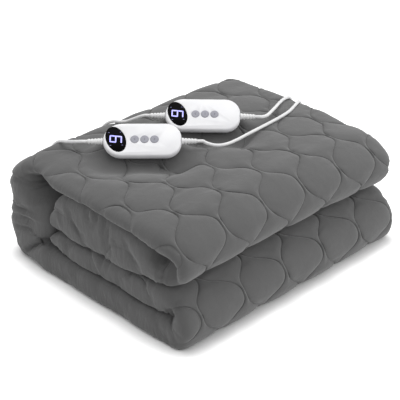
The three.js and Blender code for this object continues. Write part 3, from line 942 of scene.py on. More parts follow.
@dataclass
class FoldedPad:
    """The quilted pad: one packet of plies, folded back and forth along its path.

    Sizes are in metres. A pair of numbers that a fade is named for is where it starts and where
    it is complete.
    """

    PATH_SAMPLES = 6001
    OUTLINE_SAMPLES = 121
    SIZE_TENSION = 0.3
    TANGENT_STEP = 1e-4
    SOFT_ANGLE = 75.0
    DENT_SEED = 11
    GATHER_SEED = 12

    quilting: OgeeQuilting = field(default_factory=OgeeQuilting)
    shift_y: float = 0.002
    half_length: float = 0.254
    end_round: float = 0.024
    crown: float = 0.05
    crown_back: float = 0.200
    crown_front: float = 0.040
    rise: float = 0.045
    droop: float = 0.005
    droop_left: Pair = (0.205, 0.254)
    droop_right: Pair = (0.195, 0.254)
    droop_front: Pair = (0.03, 0.12)
    droop_height: Pair = (0.10, 0.185)
    top_run_z: float = 0.160
    seat_slope: Pair = (0.6, 0.8)
    seat_side: Pair = (0.8, 1.0)
    furrow_depth: float = 0.0019
    furrow_reach: float = 0.0034
    cushion_rise: float = 0.0024
    cushion_reach: float = 0.018
    seam_gather: float = 0.0022
    seam_band: Pair = (0.002, 0.010)
    seam_pucker: Pair = (0.022, 0.0085)
    dent: float = 0.0011
    dent_size: Pair = (0.036, 0.044)
    stitch_fade: Pair = (0.004, 0.030)
    swell_fade: Pair = (-0.010, 0.004)
    crease_step: float = 0.003
    crease_margin: float = 0.07
    crease_sharpness: float = 0.7
    crease_cut: float = 2.6
    level_face: Pair = (0.1, 0.5)
    upright_face: Pair = (0.0, 0.35)
    outer_side: float = 0.3
    sink_fade: Pair = (0.120, 0.235)
    clearance: float = 0.0004
    path: tuple[FoldRow, ...] = tuple(FoldRow(*row) for row in (
        (0.092, 0.062, 0.011, -0.244, 0.238, 1, 4.0, 0.10),
        (0.084, 0.062, 0.014, -0.245, 0.240, 1, 4.0, 0.10),
        (0.060, 0.061, 0.017, -0.247, 0.242, 2, 4.0, 0.08),
        (-0.050, 0.063, 0.019, -0.248, 0.244, 2, 4.0, 0.06),
        (-0.140, 0.066, 0.021, -0.249, 0.246, 2, 4.0, 0.04),
        (-0.180, 0.066, 0.023, -0.250, 0.248, 2, 3.0),
        (-0.203, 0.042, 0.022, -0.252, 0.252, 3, 3.0),
        (-0.1915, 0.022, 0.0255, -0.253, 0.254, 1, 4.0),
        (-0.140, 0.021, 0.021, -0.255, 0.254, 2, 5.0, 0.05),
        (0.0, 0.021, 0.021, -0.255, 0.254, 2, 5.0, 0.05),
        (0.104, 0.021, 0.021, -0.255, 0.254, 1, 5.0, 0.05),
        (0.138, 0.027, 0.027, -0.254, 0.254, 2, 4.0),
        (0.162, 0.045, 0.056, -0.253, 0.253, 2, 3.0),
        (0.163, 0.080, 0.055, -0.253, 0.248, 1),
        (0.165, 0.106, 0.053, -0.253, 0.247, 2),
        (0.178, 0.138, 0.035, -0.253, 0.246, 2),
        (0.162, 0.173, 0.016, -0.253, 0.246, 2),
        (0.116, 0.1775, 0.0105, -0.254, 0.246, 5),
        (0.0, 0.178, 0.010, -0.254, 0.246, 6),
        (-0.120, 0.172, 0.013, -0.253, 0.245, 2),
        (-0.166, 0.164, 0.019, -0.252, 0.243, 2),
        (-0.193, 0.140, 0.023, -0.250, 0.241, 2),
        (-0.166, 0.115, 0.023, -0.249, 0.240, 2, 3.0),
        (-0.120, 0.121, 0.033, -0.248, 0.239, 2, 4.0, 0.04),
        (-0.045, 0.121, 0.042, -0.247, 0.238, 2, 4.0, 0.04),
        (0.030, 0.122, 0.043, -0.246, 0.236, 2, 4.0, 0.04),
        (0.066, 0.114, 0.037, -0.245, 0.235, 2, 4.0, 0.04),
        (0.086, 0.105, 0.027, -0.243, 0.233, 1, 4.0, 0.04),
        (0.091, 0.101, 0.019, -0.242, 0.230, 1, 4.0, 0.04),
    ))
    # How long the grid's cells are, by the distance along the packet's outer side.
    steps: tuple[Pair, ...] = (
        (0.0, 0.0042), (0.20, 0.0042), (0.25, 0.0038), (0.45, 0.0038), (0.50, 0.009), (0.70, 0.009),
        (0.76, 0.0045), (1.02, 0.0042), (1.12, 0.0035), (1.54, 0.0035), (1.60, 0.0042),
        (1.79, 0.0042),
    )
    lines: tuple[float, ...] = tuple(-2.5 + 0.5 * k for k in range(13))
    gap_columns: int = 14
    crowding: float = 0.7
    cap_columns: int = 15
    line_reach: float = 0.94
    inner_columns: int = 16
    nose_rings: int = 5
    end_stitching: float = 0.22
    end_creases: tuple[Crease, ...] = tuple(Crease(*row) for row in (
        # Seams that gather the ends of the tucks.
        (((0.088, 0.128), (0.077, 0.112), (0.072, 0.094)), 0.0034, 0.0037),
        (((0.082, 0.134), (0.069, 0.116), (0.064, 0.098)), 0.0031, 0.0032),
        (((0.056, 0.149), (0.050, 0.122), (0.030, 0.108), (0.012, 0.106)), 0.0037, 0.0037),
        (((0.010, 0.156), (0.004, 0.140), (-0.010, 0.134)), 0.0044, 0.0042),
        (((-0.010, 0.160), (-0.014, 0.148), (-0.012, 0.138)), 0.0058, 0.0037),
        (((-0.036, 0.160), (-0.033, 0.125), (-0.040, 0.102)), 0.0041, 0.0032),
        (((-0.046, 0.160), (-0.043, 0.125), (-0.052, 0.100)), 0.0037, 0.0030),
        (((-0.078, 0.146), (-0.092, 0.124), (-0.114, 0.108)), 0.0027, 0.0050),
        # The front roll's hollow.
        (((-0.135, 0.152), (-0.150, 0.136), (-0.165, 0.128)), 0.0051, 0.0042),
        (((-0.140, 0.136), (-0.155, 0.124), (-0.170, 0.120)), 0.0044, 0.0037),
        (((-0.150, 0.118), (-0.165, 0.112), (-0.185, 0.116)), 0.0044, 0.0035),
        (((-0.160, 0.104), (-0.176, 0.104), (-0.192, 0.112)), 0.0041, 0.0032),
        # Gathers of the lower tuck and the bottom.
        (((0.070, 0.078), (0.066, 0.070), (0.060, 0.064)), 0.0044, 0.0037),
        (((-0.018, 0.088), (-0.024, 0.074), (-0.020, 0.066)), 0.0051, 0.0042),
        (((-0.034, 0.090), (-0.040, 0.076), (-0.036, 0.068)), 0.0037, 0.0032),
        (((-0.084, 0.090), (-0.092, 0.080), (-0.090, 0.074)), 0.0031, 0.0032),
        (((-0.120, 0.090), (-0.128, 0.078), (-0.126, 0.070)), 0.0027, 0.0032),
        (((-0.012, 0.054), (-0.018, 0.040), (-0.026, 0.022)), 0.0020, 0.0042),
        (((-0.060, 0.058), (-0.064, 0.042), (-0.074, 0.026)), 0.0024, 0.0042),
        (((0.044, 0.052), (0.036, 0.036), (0.030, 0.020)), 0.0020, 0.0042),
        (((-0.110, 0.048), (-0.118, 0.032), (-0.122, 0.016)), 0.0020, 0.0042),
        # The wall of the bundle, and its corners.
        (((0.214, 0.090), (0.180, 0.095), (0.130, 0.100)), 0.0080, 0.0046),
        (((0.214, 0.072), (0.180, 0.078), (0.125, 0.084)), 0.0075, 0.0046),
        (((0.208, 0.054), (0.175, 0.061), (0.130, 0.069)), 0.0055, 0.0046),
        (((0.207, 0.146), (0.180, 0.150), (0.150, 0.164)), 0.0061, 0.0050),
        (((0.172, 0.018), (0.150, 0.035), (0.127, 0.051), (0.108, 0.064)), 0.0136, 0.0047),
    ))
    # Wrinkles round the controllers.
    top_creases: tuple[Crease, ...] = tuple(Crease(*row) for row in (
        (((-0.092, 0.012), (-0.097, 0.000), (-0.104, -0.012)), 0.0042, 0.0040),
        (((-0.055, 0.012), (-0.049, 0.002), (-0.036, -0.030), (-0.012, -0.030)),
               0.0018, 0.0042),
        (((0.006, 0.030), (0.000, 0.008), (-0.012, -0.008)), 0.0030, 0.0042),
        (((0.094, 0.014), (0.086, 0.000), (0.062, -0.032)), 0.0030, 0.0042),
        (((0.062, -0.026), (0.107, -0.031), (0.151, -0.021), (0.183, 0.004),
          (0.226, 0.024)), 0.0018, 0.0045),
        (((0.150, -0.002), (0.138, -0.020), (0.130, -0.036)), 0.0018, 0.0040),
    ))
    hollows: tuple[Hollow, ...] = (
        Hollow(0.116, 0.146, (0.034, 0.026), 0.060, (12, 17)),
        Hollow(-0.160, 0.140, (0.022, 0.012), 0.022, (20, 24)),
        Hollow(-0.182, 0.124, (0.012, 0.016), 0.018, (20, 24)),
        Hollow(-0.182, 0.052, (0.010, 0.010), 0.018, (4, 8)),
    )

    def profile(self, at: Array) -> tuple[Array, Array, Array]:
        """Gives the middle line, the packet's sizes and its outward normal along the path.

        Args:
            at: places on the path, from 0 to 1.

        Returns:
            The middle line's points, the sizes and the normals.
        """
        line = np.array([(row.y, row.z) for row in self.path])
        sizes = np.array([
            (row.half, row.left, row.right, row.square, row.swell) for row in self.path
        ])
        after, before = at + self.TANGENT_STEP, at - self.TANGENT_STEP
        tangent = catmull_rom(line, after) - catmull_rom(line, before)
        tangent /= np.linalg.norm(tangent, axis=1)[:, None]
        normal = np.stack([tangent[:, 1], -tangent[:, 0]], axis=1)
        return catmull_rom(line, at), catmull_rom(sizes, at, self.SIZE_TENSION), normal

    def inner_side(self, at: Array) -> Array:
        """Gives the packet's inner side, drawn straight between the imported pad's sections.

        Args:
            at: places on the path, from 0 to 1.

        Returns:
            The inner side's y and z at each.
        """
        last = len(self.path) - 1
        sections = [
            (index + step / row.rings) / last
            for index, row in enumerate(self.path[:-1])
            for step in range(row.rings)
        ]
        sections = np.array([*sections, 1.0])
        middle, sizes, normal = self.profile(sections)
        inner = middle - normal * sizes[:, :1]
        return np.stack([np.interp(at, sections, inner[:, k]) for k in (0, 1)], axis=1)

    def path_places(self) -> tuple[Array, Array]:
        """Picks the rows of the grid.

        Returns:
            Each row's place on the path, from 0 to 1, and its distance along the outer side.
        """
        fine = np.linspace(0, 1, self.PATH_SAMPLES)
        middle, sizes, normal = self.profile(fine)
        outer = middle + normal * sizes[:, :1]
        travelled = np.linalg.norm(np.diff(outer, axis=0), axis=1)
        along = np.concatenate([[0], np.cumsum(travelled)])
        table = np.array(self.steps)
        density = 1 / np.interp(along, table[:, 0], table[:, 1])
        share = travelled * (density[1:] + density[:-1]) / 2
        count = np.concatenate([[0], np.cumsum(share)])
        rows = np.interp(np.linspace(0, count[-1], int(count[-1]) + 1), count, fine)
        return rows, np.interp(rows, fine, along)

    def height_scale(self, x: Array, y: Array) -> Array:
        """Gives how much taller the stack is at a place than at its left end."""
        along = x / self.half_length
        crown = self.crown * smooth_step(-y, -self.crown_back, -self.crown_front)
        return 1 + crown * (1 - along**2) + self.rise * (1 + along) / 2

    def end_droop(self, x: Array, y: Array, z: Array) -> Array:
        """Gives how far the top sinks towards the packet's left end and its front right corner."""
        right = smooth_step(x, *self.droop_right) * smooth_step(-y, *self.droop_front)
        sides = smooth_step(-x, *self.droop_left) + right
        return self.droop * sides * smooth_step(z, *self.droop_height)

    def column_places(self, along: float, reach: Pair, cap: float) -> Array:
        """Places one row's columns so that edges of the grid run along the stitched lines.

        Args:
            along: the row's distance along the outer side.
            reach: the x at which each of the row's rounded ends starts.
            cap: the distance round an end.

        Returns:
            The unrolled x of every column, from the middle of the inner side all the way round.
        """
        table = self.quilting.smooth_table(np.array([along]))
        row, start, pitch = (float(part[0]) for part in table)
        wave = float(self.quilting.wave(np.array([row]))[0]) * self.quilting.swing
        knots = [
            start + pitch * (line + (wave if line == round(line) else -wave))
            for line in self.lines
        ]
        beyond = self.line_reach * cap
        knots = np.clip(knots, reach[0] - beyond, reach[1] + beyond)
        share = np.arange(self.gap_columns) / self.gap_columns
        crowded = (1 - np.cos(np.pi * share)) / 2
        share = self.crowding * crowded + (1 - self.crowding) * share
        middle = (reach[0] + reach[1]) / 2
        ends = (
            np.linspace(reach[0] - cap - (middle - reach[0]), reach[0] - cap,
                        self.inner_columns, endpoint=False),
            np.linspace(reach[0] - cap, knots[0], self.cap_columns, endpoint=False),
            np.linspace(knots[-1], reach[1] + cap, self.cap_columns, endpoint=False),
            np.linspace(reach[1] + cap, reach[1] + cap + reach[1] - middle,
                        self.inner_columns + 1),
        )
        gaps = [a + (b - a) * share for a, b in zip(knots[:-1], knots[1:])]
        return np.concatenate([ends[0], ends[1], *gaps, ends[2], ends[3]])

    def wrap(
        self, unrolled: Array, reach: Pair, half: float, square: float
    ) -> tuple[Array, Array]:
        """Rolls a row's columns round the packet.

        Args:
            unrolled: the columns' unrolled x.
            reach: the x at which each rounded end starts.
            half: half of the packet's thickness.
            square: how square its ends are.

        Returns:
            The columns' x, and where they lie from the outer side, 1, to the inner one, -1.
        """
        outline = self.end_outline(half, square)
        travelled = np.concatenate([[0], np.cumsum(np.hypot(*np.diff(outline, axis=0).T))])
        cap = travelled[-1]
        x, offset = unrolled.copy(), np.ones_like(unrolled)
        for side, edge in ((-1, reach[0]), (1, reach[1])):
            beyond = side * (unrolled - edge)
            turned = beyond > 0
            rolled = edge + side * np.interp(beyond, travelled, outline[:, 0])
            rolled = np.where(beyond > cap, edge - side * (beyond - cap), rolled)
            x = np.where(turned, rolled, x)
            round_end = np.interp(beyond, travelled, outline[:, 1] / half)
            offset = np.where(turned, round_end, offset)
        return x, offset

    def end_outline(self, half: float, square: float) -> Array:
        """Draws a rounded end of the packet, from its outer side to its inner one.

        Args:
            half: half of the packet's thickness.
            square: 2 for an ellipse, more for a squarer end.

        Returns:
            How far each point stands out, and its distance from the middle of the packet.
        """
        angles = np.linspace(0, np.pi, self.OUTLINE_SAMPLES)
        out = self.end_round * np.abs(np.sin(angles)) ** (2 / square)
        up = half * np.sign(np.cos(angles)) * np.abs(np.cos(angles)) ** (2 / square)
        return np.stack([out, up], axis=1)

    def surface(self, seats: Sequence["HandController"]) -> tuple[Array, Array, Array, Array]:
        """Lays out the packet without its stitching.

        Args:
            seats: the controllers that lie on it.

        Returns:
            The grid's points, its unrolled coordinates, its places from the outer side, and how
            deep its stitching is.
        """
        places, along = self.path_places()
        middle, sizes, normal = self.profile(places)
        outer, inner = middle + normal * sizes[:, :1], self.inner_side(places)
        points, flat, offsets, stitching = [], [], [], []
        for k, (half, left, right, square, swell) in enumerate(sizes):
            reach = (left + self.end_round, right - self.end_round)
            cap = curve_length(self.end_outline(half, square))
            unrolled = self.column_places(along[k], reach, cap)
            x, offset = self.wrap(unrolled, reach, half, square)
            beyond = np.maximum(reach[0] - unrolled, unrolled - reach[1])
            plain = (1 - self.end_stitching) * smooth_step(beyond, *self.stitch_fade)
            stitching.append(1 - plain)
            offset = offset * (1 + swell * smooth_step(beyond, *self.swell_fade))
            y = (outer[k, 0] * (1 + offset) + inner[k, 0] * (1 - offset)) / 2
            z = (outer[k, 1] * (1 + offset) + inner[k, 1] * (1 - offset)) / 2
            z = z * self.height_scale(x, y)
            z = np.maximum(z - self.end_droop(x, y, z), 0)
            y = y + self.shift_y
            if middle[k, 1] > self.top_run_z:
                raised = z
                for seat in seats:
                    raised = seat.raise_cloth(x, y, raised)
                weight = smooth_step(normal[k, 1], *self.seat_slope)
                weight = weight * smooth_step(offset, *self.seat_side)
                z = z + (raised - z) * weight
            points.append(np.stack([x, y, z], axis=1))
            flat.append(np.stack([unrolled, np.full_like(x, along[k])], axis=1))
            offsets.append(offset)
        return np.array(points), np.array(flat), np.array(offsets), np.array(stitching)

    def normals(self, points: Array) -> Array:
        """Gives the outward normal at every point of the grid.

        Args:
            points: the grid.

        Returns:
            Its normals, each of length 1.
        """
        down = np.gradient(points, axis=0)
        ring = points[:, :-1]
        across = np.roll(ring, -1, axis=1) - np.roll(ring, 1, axis=1)
        across = np.concatenate([across, across[:, :1]], axis=1)
        normal = np.cross(across, down)
        return normal / np.linalg.norm(normal, axis=2)[..., None]

    def relief_height(self, flat: Array, stitching: Array) -> Array:
        """Gives how far the cloth stands out at each place, less than 0 in its furrows.

        Args:
            flat: the grid's unrolled coordinates.
            stitching: how deep its stitching is.

        Returns:
            How far each point moves outwards.
        """
        along = flat[..., 1]
        pitches, rows = self.quilting.coordinates(along, flat[..., 0])
        away = np.minimum(*self.quilting.distances(pitches, rows))
        height = self.cushion_rise * (1 - np.exp(-away / self.cushion_reach))
        height = height - self.furrow_depth * stitching * np.exp(-away / self.furrow_reach)
        billow, gather = SmoothNoise(self.DENT_SEED), SmoothNoise(self.GATHER_SEED)
        across = flat[..., 0]
        height = height + self.dent * billow(across / self.dent_size[0], along / self.dent_size[1])
        start, stop = self.seam_band
        near = np.exp(-away / stop) * (1 - np.exp(-away / start))
        puckers = gather(across / self.seam_pucker[0], along / self.seam_pucker[1])
        return height + self.seam_gather * near * puckers

    def crease_height(self, points: Array, normal: Array, offsets: Array) -> Array:
        """Gives how far the listed creases move each place of the cloth.

        Args:
            points: the grid.
            normal: its outward normals.
            offsets: where its points lie from the packet's outer side, 1, to the inner one, -1.

        Returns:
            How far each point moves outwards, less than 0 where it sinks in.
        """
        level = smooth_step(normal[..., 2], *self.level_face)
        outside = (offsets > self.outer_side) & (points[..., 2] > self.top_run_z)
        upright = smooth_step(-normal[..., 0], *self.upright_face)
        height = np.zeros(points.shape[:2])
        for face, strength, creases in (
            (Face.LEFT_END, upright, self.end_creases),
            (Face.TOP, level * outside, self.top_creases),
        ):
            places = points[..., list(face.value)]
            for crease in creases:
                line = np.array([(*p, 0.0) for p in crease.points])
                line = resample(line, self.crease_step)[:, :2]
                reach = self.crease_cut * crease.width
                low, high = line.min(axis=0) - reach, line.max(axis=0) + reach
                near = np.all((places > low) & (places < high), axis=2) & (strength > 0)
                offset = places[near][:, None] - line[None]
                distance = np.hypot(offset[..., 0], offset[..., 1])
                share = distance.argmin(axis=1) / (len(line) - 1)
                share = self.crease_margin + (1 - 2 * self.crease_margin) * share
                fade = np.sin(np.pi * share) ** self.crease_sharpness
                dip = fade * np.exp(-((distance.min(axis=1) / crease.width) ** 2))
                height[near] -= crease.depth * dip * strength[near]
        return height

    def sink_end(self, points: Array, rows: Array) -> Array:
        """Draws the hollows of the left end in, less so deeper inside the bundle.

        Args:
            points: the grid.
            rows: each grid row's place, counted in the path's rows.

        Returns:
            The grid with its hollows.
        """
        x = points[..., 0].copy()
        inward = smooth_step(-points[..., 0], *self.sink_fade)
        for hollow in self.hollows:
            spread = ((points[..., 1] - hollow.y) / hollow.reach[0]) ** 2
            spread += ((points[..., 2] - hollow.z) / hollow.reach[1]) ** 2
            first, last = hollow.rows
            there = smooth_step(rows, first - 0.5, first + 0.5)
            there = there * smooth_step(-rows, -last - 0.5, -last + 0.5)
            x += hollow.depth * np.exp(-spread) * inward * there[:, None]
        return np.stack([x, points[..., 1], points[..., 2]], axis=2)

    def clear_cords(self, points: Array, cords: Sequence[Array], radius: float) -> Array:
        """Moves the cloth out of the way of the leads that lie on it.

        Args:
            points: the grid, which is changed.
            cords: points along each lead, close together.
            radius: the leads' radius.

        Returns:
            The grid.
        """
        flat_points = points.reshape(-1, 3)
        reach = radius + self.clearance
        for cord in cords:
            low, high = cord.min(axis=0) - reach, cord.max(axis=0) + reach
            inside = np.all((flat_points > low) & (flat_points < high), axis=1)
            index = np.flatnonzero(inside)
            if not len(index):
                continue
            near = flat_points[index]
            gap = np.full(len(near), np.inf)
            away = np.zeros_like(near)
            for place in cord:
                offset = near - place
                distance = np.linalg.norm(offset, axis=1)
                nearer = distance < gap
                gap = np.where(nearer, distance, gap)
                away[nearer] = offset[nearer]
            push = np.maximum(reach - gap, 0)
            move = away / np.maximum(gap, TINY)[:, None] * push[:, None]
            flat_points[index] = near + move
        return flat_points.reshape(points.shape)

    def close_noses(self, points: Array, *maps: Array) -> list[Array]:
        """Rounds off the packet's two ends along its path, which lie inside the folds.

        Args:
            points: the grid.
            maps: values for each of its points.

        Returns:
            The longer grid, and its values after it.
        """
        maps = list(maps)
        for end in (0, -1):
            ring = points[end]
            heading = ring.mean(axis=0) - points[1 if end == 0 else -2].mean(axis=0)
            heading[0] = 0.0
            heading /= np.linalg.norm(heading)
            middle_y, middle_z = ring[:, 1].mean(), ring[:, 2].mean()
            thick = np.ptp(ring[:, 2]) / 2
            extra = []
            for k in range(1, self.nose_rings + 1):
                angle = math.pi / 2 * k / self.nose_rings
                shrunk = ring.copy()
                shrunk[:, 1] = middle_y + (ring[:, 1] - middle_y) * math.cos(angle)
                shrunk[:, 2] = middle_z + (ring[:, 2] - middle_z) * math.cos(angle)
                extra.append(shrunk + heading * thick * math.sin(angle))
            points = np.array([*extra[::-1], *points] if end == 0 else [*points, *extra])
            for k, values in enumerate(maps):
                more = [values[end]] * self.nose_rings
                maps[k] = np.array([*more, *values] if end == 0 else [*values, *more])
        return [points, *maps]

    def build(
        self, seats: Sequence["HandController"], cords: Sequence[Array], cord_radius: float,
        material: Material,
    ) -> Piece:
        """Makes the pad.

        Args:
            seats: the controllers that lie on it.
            cords: points along each lead, close together.
            cord_radius: the leads' radius.
            material: the cloth.

        Returns:
            The pad's object.
        """
        points, flat, offsets, stitching = self.surface(seats)
        points = self.sink_end(points, self.path_places()[0] * (len(self.path) - 1))
        normal = self.normals(points)
        middle = points.mean(axis=1, keepdims=True)
        normal *= np.sign((normal * (points - middle)).sum(axis=2).mean())
        height = self.relief_height(flat, stitching)
        height += self.crease_height(points, normal, offsets)
        points = points + normal * height[..., None]
        for seat in seats:
            points = seat.press_cloth(points)
        points = self.clear_cords(points, cords, cord_radius)
        points[..., 2] = np.maximum(points[..., 2], 0)
        strength = np.stack([stitching, np.zeros_like(stitching)], axis=2)
        points, flat, strength = self.close_noses(points, flat, strength)
        bm = skin(points, close_ends=False, maps={
            self.quilting.FLAT_MAP: flat,
            self.quilting.STRENGTH_MAP: strength,
            self.quilting.PATTERN_MAP: np.stack(
                self.quilting.coordinates(flat[..., 1], flat[..., 0]), axis=2
            ),
        })
        return finish_mesh(bm, "mattress_pad_quilting", material, smooth_angle=self.SOFT_ANGLE)


# ---- The hand controllers ----


@dataclass(frozen=True)
class Level:
    """A height on a case and how far its outline is drawn in there."""

    z: float
    inset: float


@dataclass
class HandController:
    """A two-part case with a round head, an oval window, three keys and two strain reliefs.

    In its own frame the head is towards -X, the tail towards +X, and the underside is at 0.
    """

    CUT_HEIGHT = 1.4
    PRESS_HEIGHT = 1.6

    name: str
    place: Point
    turn: float
    lean: float
    length: float = 0.127
    width: float = 0.062
    thick: float = 0.022
    tail_radius: float = 0.026
    base_levels: tuple[Level, ...] = (
        Level(0.0, 0.012), Level(0.002, 0.0084), Level(0.006, 0.0042), Level(0.010, 0.0016),
        Level(0.0135, 0.0004),
    )
    cover_levels: tuple[Level, ...] = (
        Level(0.0138, 0.00035), Level(0.016, 0.0), Level(0.0192, 0.0007), Level(0.0212, 0.002),
        Level(0.022, 0.0036),
    )
    shell_rings: tuple[int, int] = (12, 18)
    rim_width: float = 0.00045
    rim_angle: float = 50.0
    rim_segments: int = 3
    window_x: float = -0.0424
    window_half_length: float = 0.0154
    window_half_width: float = 0.0242
    window_turn: float = 22.0
    window_depth: float = 0.0016
    window_proud: float = 0.0003
    window_round: float = 0.0007
    window_sides: int = 96
    key_x: tuple[float, ...] = (-0.012, 0.004, 0.020)
    key_radius: float = 0.0067
    key_proud: float = 0.0009
    key_thick: float = 0.003
    key_travel: float = 0.0008
    key_round: float = 0.0006
    key_sides: int = 64
    gap: float = 0.0003
    relief_length: float = 0.0255
    relief_z: float = 0.015
    relief_radii: Pair = (0.0054, 0.0039)
    relief_rings: int = 5
    relief_groove: float = 0.0009
    relief_bore: float = 0.0006
    relief_steps: int = 40
    relief_angle: float = 40.0
    lead_exits: tuple[float, ...] = (-0.003, 0.0, 0.009)
    press_margin: float = 0.0012
    press_spare: float = 0.0006
    seat_sink: float = 0.0025
    seat_fade: float = 0.032
    seat_fade_back: float = 0.014
    seat_inset: float = 0.009
    digit_height: float = 0.0180
    digit_width: float = 0.0108
    digit_stroke: float = 0.0022
    digit_slope: float = 0.10
    digit_overlap: float = 0.18
    print_lift: float = 0.00004
    print_rise: float = 0.00008
    key_mark_reach: float = 0.0019
    key_mark_places: Point = (0.1, 0.6, 0.5)
    key_mark_stroke: float = 0.0007
    key_mark_lift: float = 0.00003
    key_mark_rise: float = 0.00006
    mark_length: float = 0.0017
    mark_stroke: float = 0.0008
    marks: tuple[Pair, ...] = (
        (0.0121, 0.0115), (0.0130, -0.0073), (-0.0115, 0.0082), (-0.0110, -0.0108),
    )
    outline_points: int = 144

    def pose(self) -> Matrix:
        """Gives the matrix that lays the controller on the pad."""
        turned = Matrix.Rotation(math.radians(self.turn), 4, "Z")
        leaned = Matrix.Rotation(math.radians(self.lean), 4, "X")
        return Matrix.Translation(self.place) @ turned @ leaned

    def axes(self) -> tuple[Array, Array]:
        """Gives the pose's origin and its three axes as columns."""
        pose = np.array(self.pose())
        return pose[:3, 3], pose[:3, :3]

    def raise_cloth(self, x: Array, y: Array, z: Array) -> Array:
        """Draws the cloth's height towards the underside, less so farther from the case.

        Args:
            x: the cloth's x.
            y: its y.
            z: its heights.

        Returns:
            The new heights.
        """
        origin, axes = self.axes()
        along, across, normal = axes.T
        dx, dy = x - origin[0], y - origin[1]
        half_seat = self.width / 2 - self.seat_inset
        under = origin[2] - (dx * normal[0] + dy * normal[1]) / normal[2]
        under = np.minimum(under, origin[2] + half_seat * across[2])
        past_end = np.abs(dx * along[0] + dy * along[1]) - (self.length / 2 - self.seat_inset)
        behind = dx * across[0] + dy * across[1]
        past_side = np.abs(behind) - half_seat
        beyond = np.hypot(np.maximum(past_end, 0), np.maximum(past_side, 0))
        fade = self.seat_fade + (self.seat_fade_back - self.seat_fade) * smooth_step(
            behind, -half_seat, half_seat
        )
        weight = np.exp(-((beyond / fade) ** 2))
        return z + (under + self.seat_sink - z) * weight

    def depth_inside(self, x: Array, y: Array) -> Array:
        """Gives how far inside the case's outline a place of its own frame is.

        Args:
            x: the places' x.
            y: their y.

        Returns:
            The distances, less than 0 outside.
        """
        head_x = -self.length / 2 + self.width / 2
        tail_x = self.length / 2 - self.tail_radius
        tail_y = self.width / 2 - self.tail_radius
        head = self.width / 2 - np.hypot(np.minimum(x - head_x, 0), y)
        corner_x = np.maximum(x - tail_x, 0)
        corner_y = np.maximum(np.abs(y) - tail_y, 0)
        tail = self.tail_radius - np.hypot(corner_x, corner_y)
        side = self.width / 2 - np.abs(y)
        return np.where(x < head_x, head, np.where(x > tail_x, tail, side))

    def press_cloth(self, points: Array) -> Array:
        """Presses the cloth down to just below the case's underside.

        Args:
            points: the cloth.

        Returns:
            The pressed cloth.
        """
        origin, axes = self.axes()
        local = (points - origin) @ axes
        inside = self.depth_inside(local[..., 0], local[..., 1]) + self.press_margin
        insets = [level.inset for level in reversed(self.base_levels)]
        heights = [level.z for level in reversed(self.base_levels)]
        under = np.interp(inside, insets, heights) - self.press_spare
        height = local[..., 2]
        deep = (inside > 0) & (height > under) & (height < self.thick * self.PRESS_HEIGHT)
        local[..., 2] = np.where(deep, under, height)
        return local @ axes.T + origin

    def outline(self, inset: float) -> Array:
        """Gives the case's outline drawn in by some amount, evenly from the tail's corner.

        Args:
            inset: how far it is drawn in.

        Returns:
            The outline's x and y.
        """
        head, tail = self.width / 2 - inset, self.tail_radius - inset
        head_x = -self.length / 2 + self.width / 2
        tail_x = self.length / 2 - self.tail_radius
        tail_y = self.width / 2 - self.tail_radius
        quarter = self.outline_points // 6

        def arc(x: float, y: float, radius: float, start: float, sweep: float, count: int) -> Array:
            """Gives points on an arc, with both of its ends."""
            angle = np.linspace(start, start + sweep, count)
            return np.stack([x + radius * np.cos(angle), y + radius * np.sin(angle)], axis=1)

        corners = np.concatenate([
            arc(tail_x, -tail_y, tail, -np.pi / 2, np.pi / 2, quarter),
            arc(tail_x, tail_y, tail, 0.0, np.pi / 2, quarter),
            arc(head_x, 0.0, head, np.pi / 2, np.pi, 2 * quarter),
        ])
        sides = []
        for a, b in ((2 * quarter - 1, 2 * quarter), (4 * quarter - 1, 0)):
            share = np.linspace(0, 1, quarter + 2)[1:-1, None]
            sides.append(corners[a] + (corners[b] - corners[a]) * share)
        return np.concatenate([corners[: 2 * quarter], sides[0], corners[2 * quarter :], sides[1]])

    def shell(self, levels: Sequence[Level], rings: int) -> Shape:
        """Skins a half of the case through its levels, with rounded shoulders between them.

        Args:
            levels: the half's levels, from the lowest.
            rings: how many rings it has.

        Returns:
            The closed half.
        """
        table = np.array([(level.z, level.inset) for level in levels])
        smooth = catmull_rom(table, np.linspace(0, 1, rings))
        stack = []
        for z, inset in smooth:
            outline = self.outline(inset)
            ring = np.column_stack([outline, np.full(len(outline), z)])
            stack.append(np.vstack([ring, ring[:1]]))
        return skin(np.array(stack))

    def name_of(self, part: str) -> str:
        """Gives the name of one of the controller's parts."""
        return f"controller_{self.name}_{part}"

    def fit(
        self, bm: Shape, part: str, material: Material, slot: str, node: str = "",
        body: str = "root", smooth_angle: float = SMOOTH_ANGLE,
    ) -> None:
        """Finishes one of the controller's pieces in its place and reports it.

        Args:
            bm: its shape, in the controller's own frame.
            part: which part it is.
            material: its finish.
            slot: its material slot.
            node: the part whose node it replaces, if it does.
            body: the body that it rides on.
            smooth_angle: edges sharper than this, in degrees, are drawn sharp.
        """
        piece = finish_mesh(bm, self.name_of(part), material, self.pose(), smooth_angle)
        report(piece, body, slot, [self.name_of(node)] if node else ())

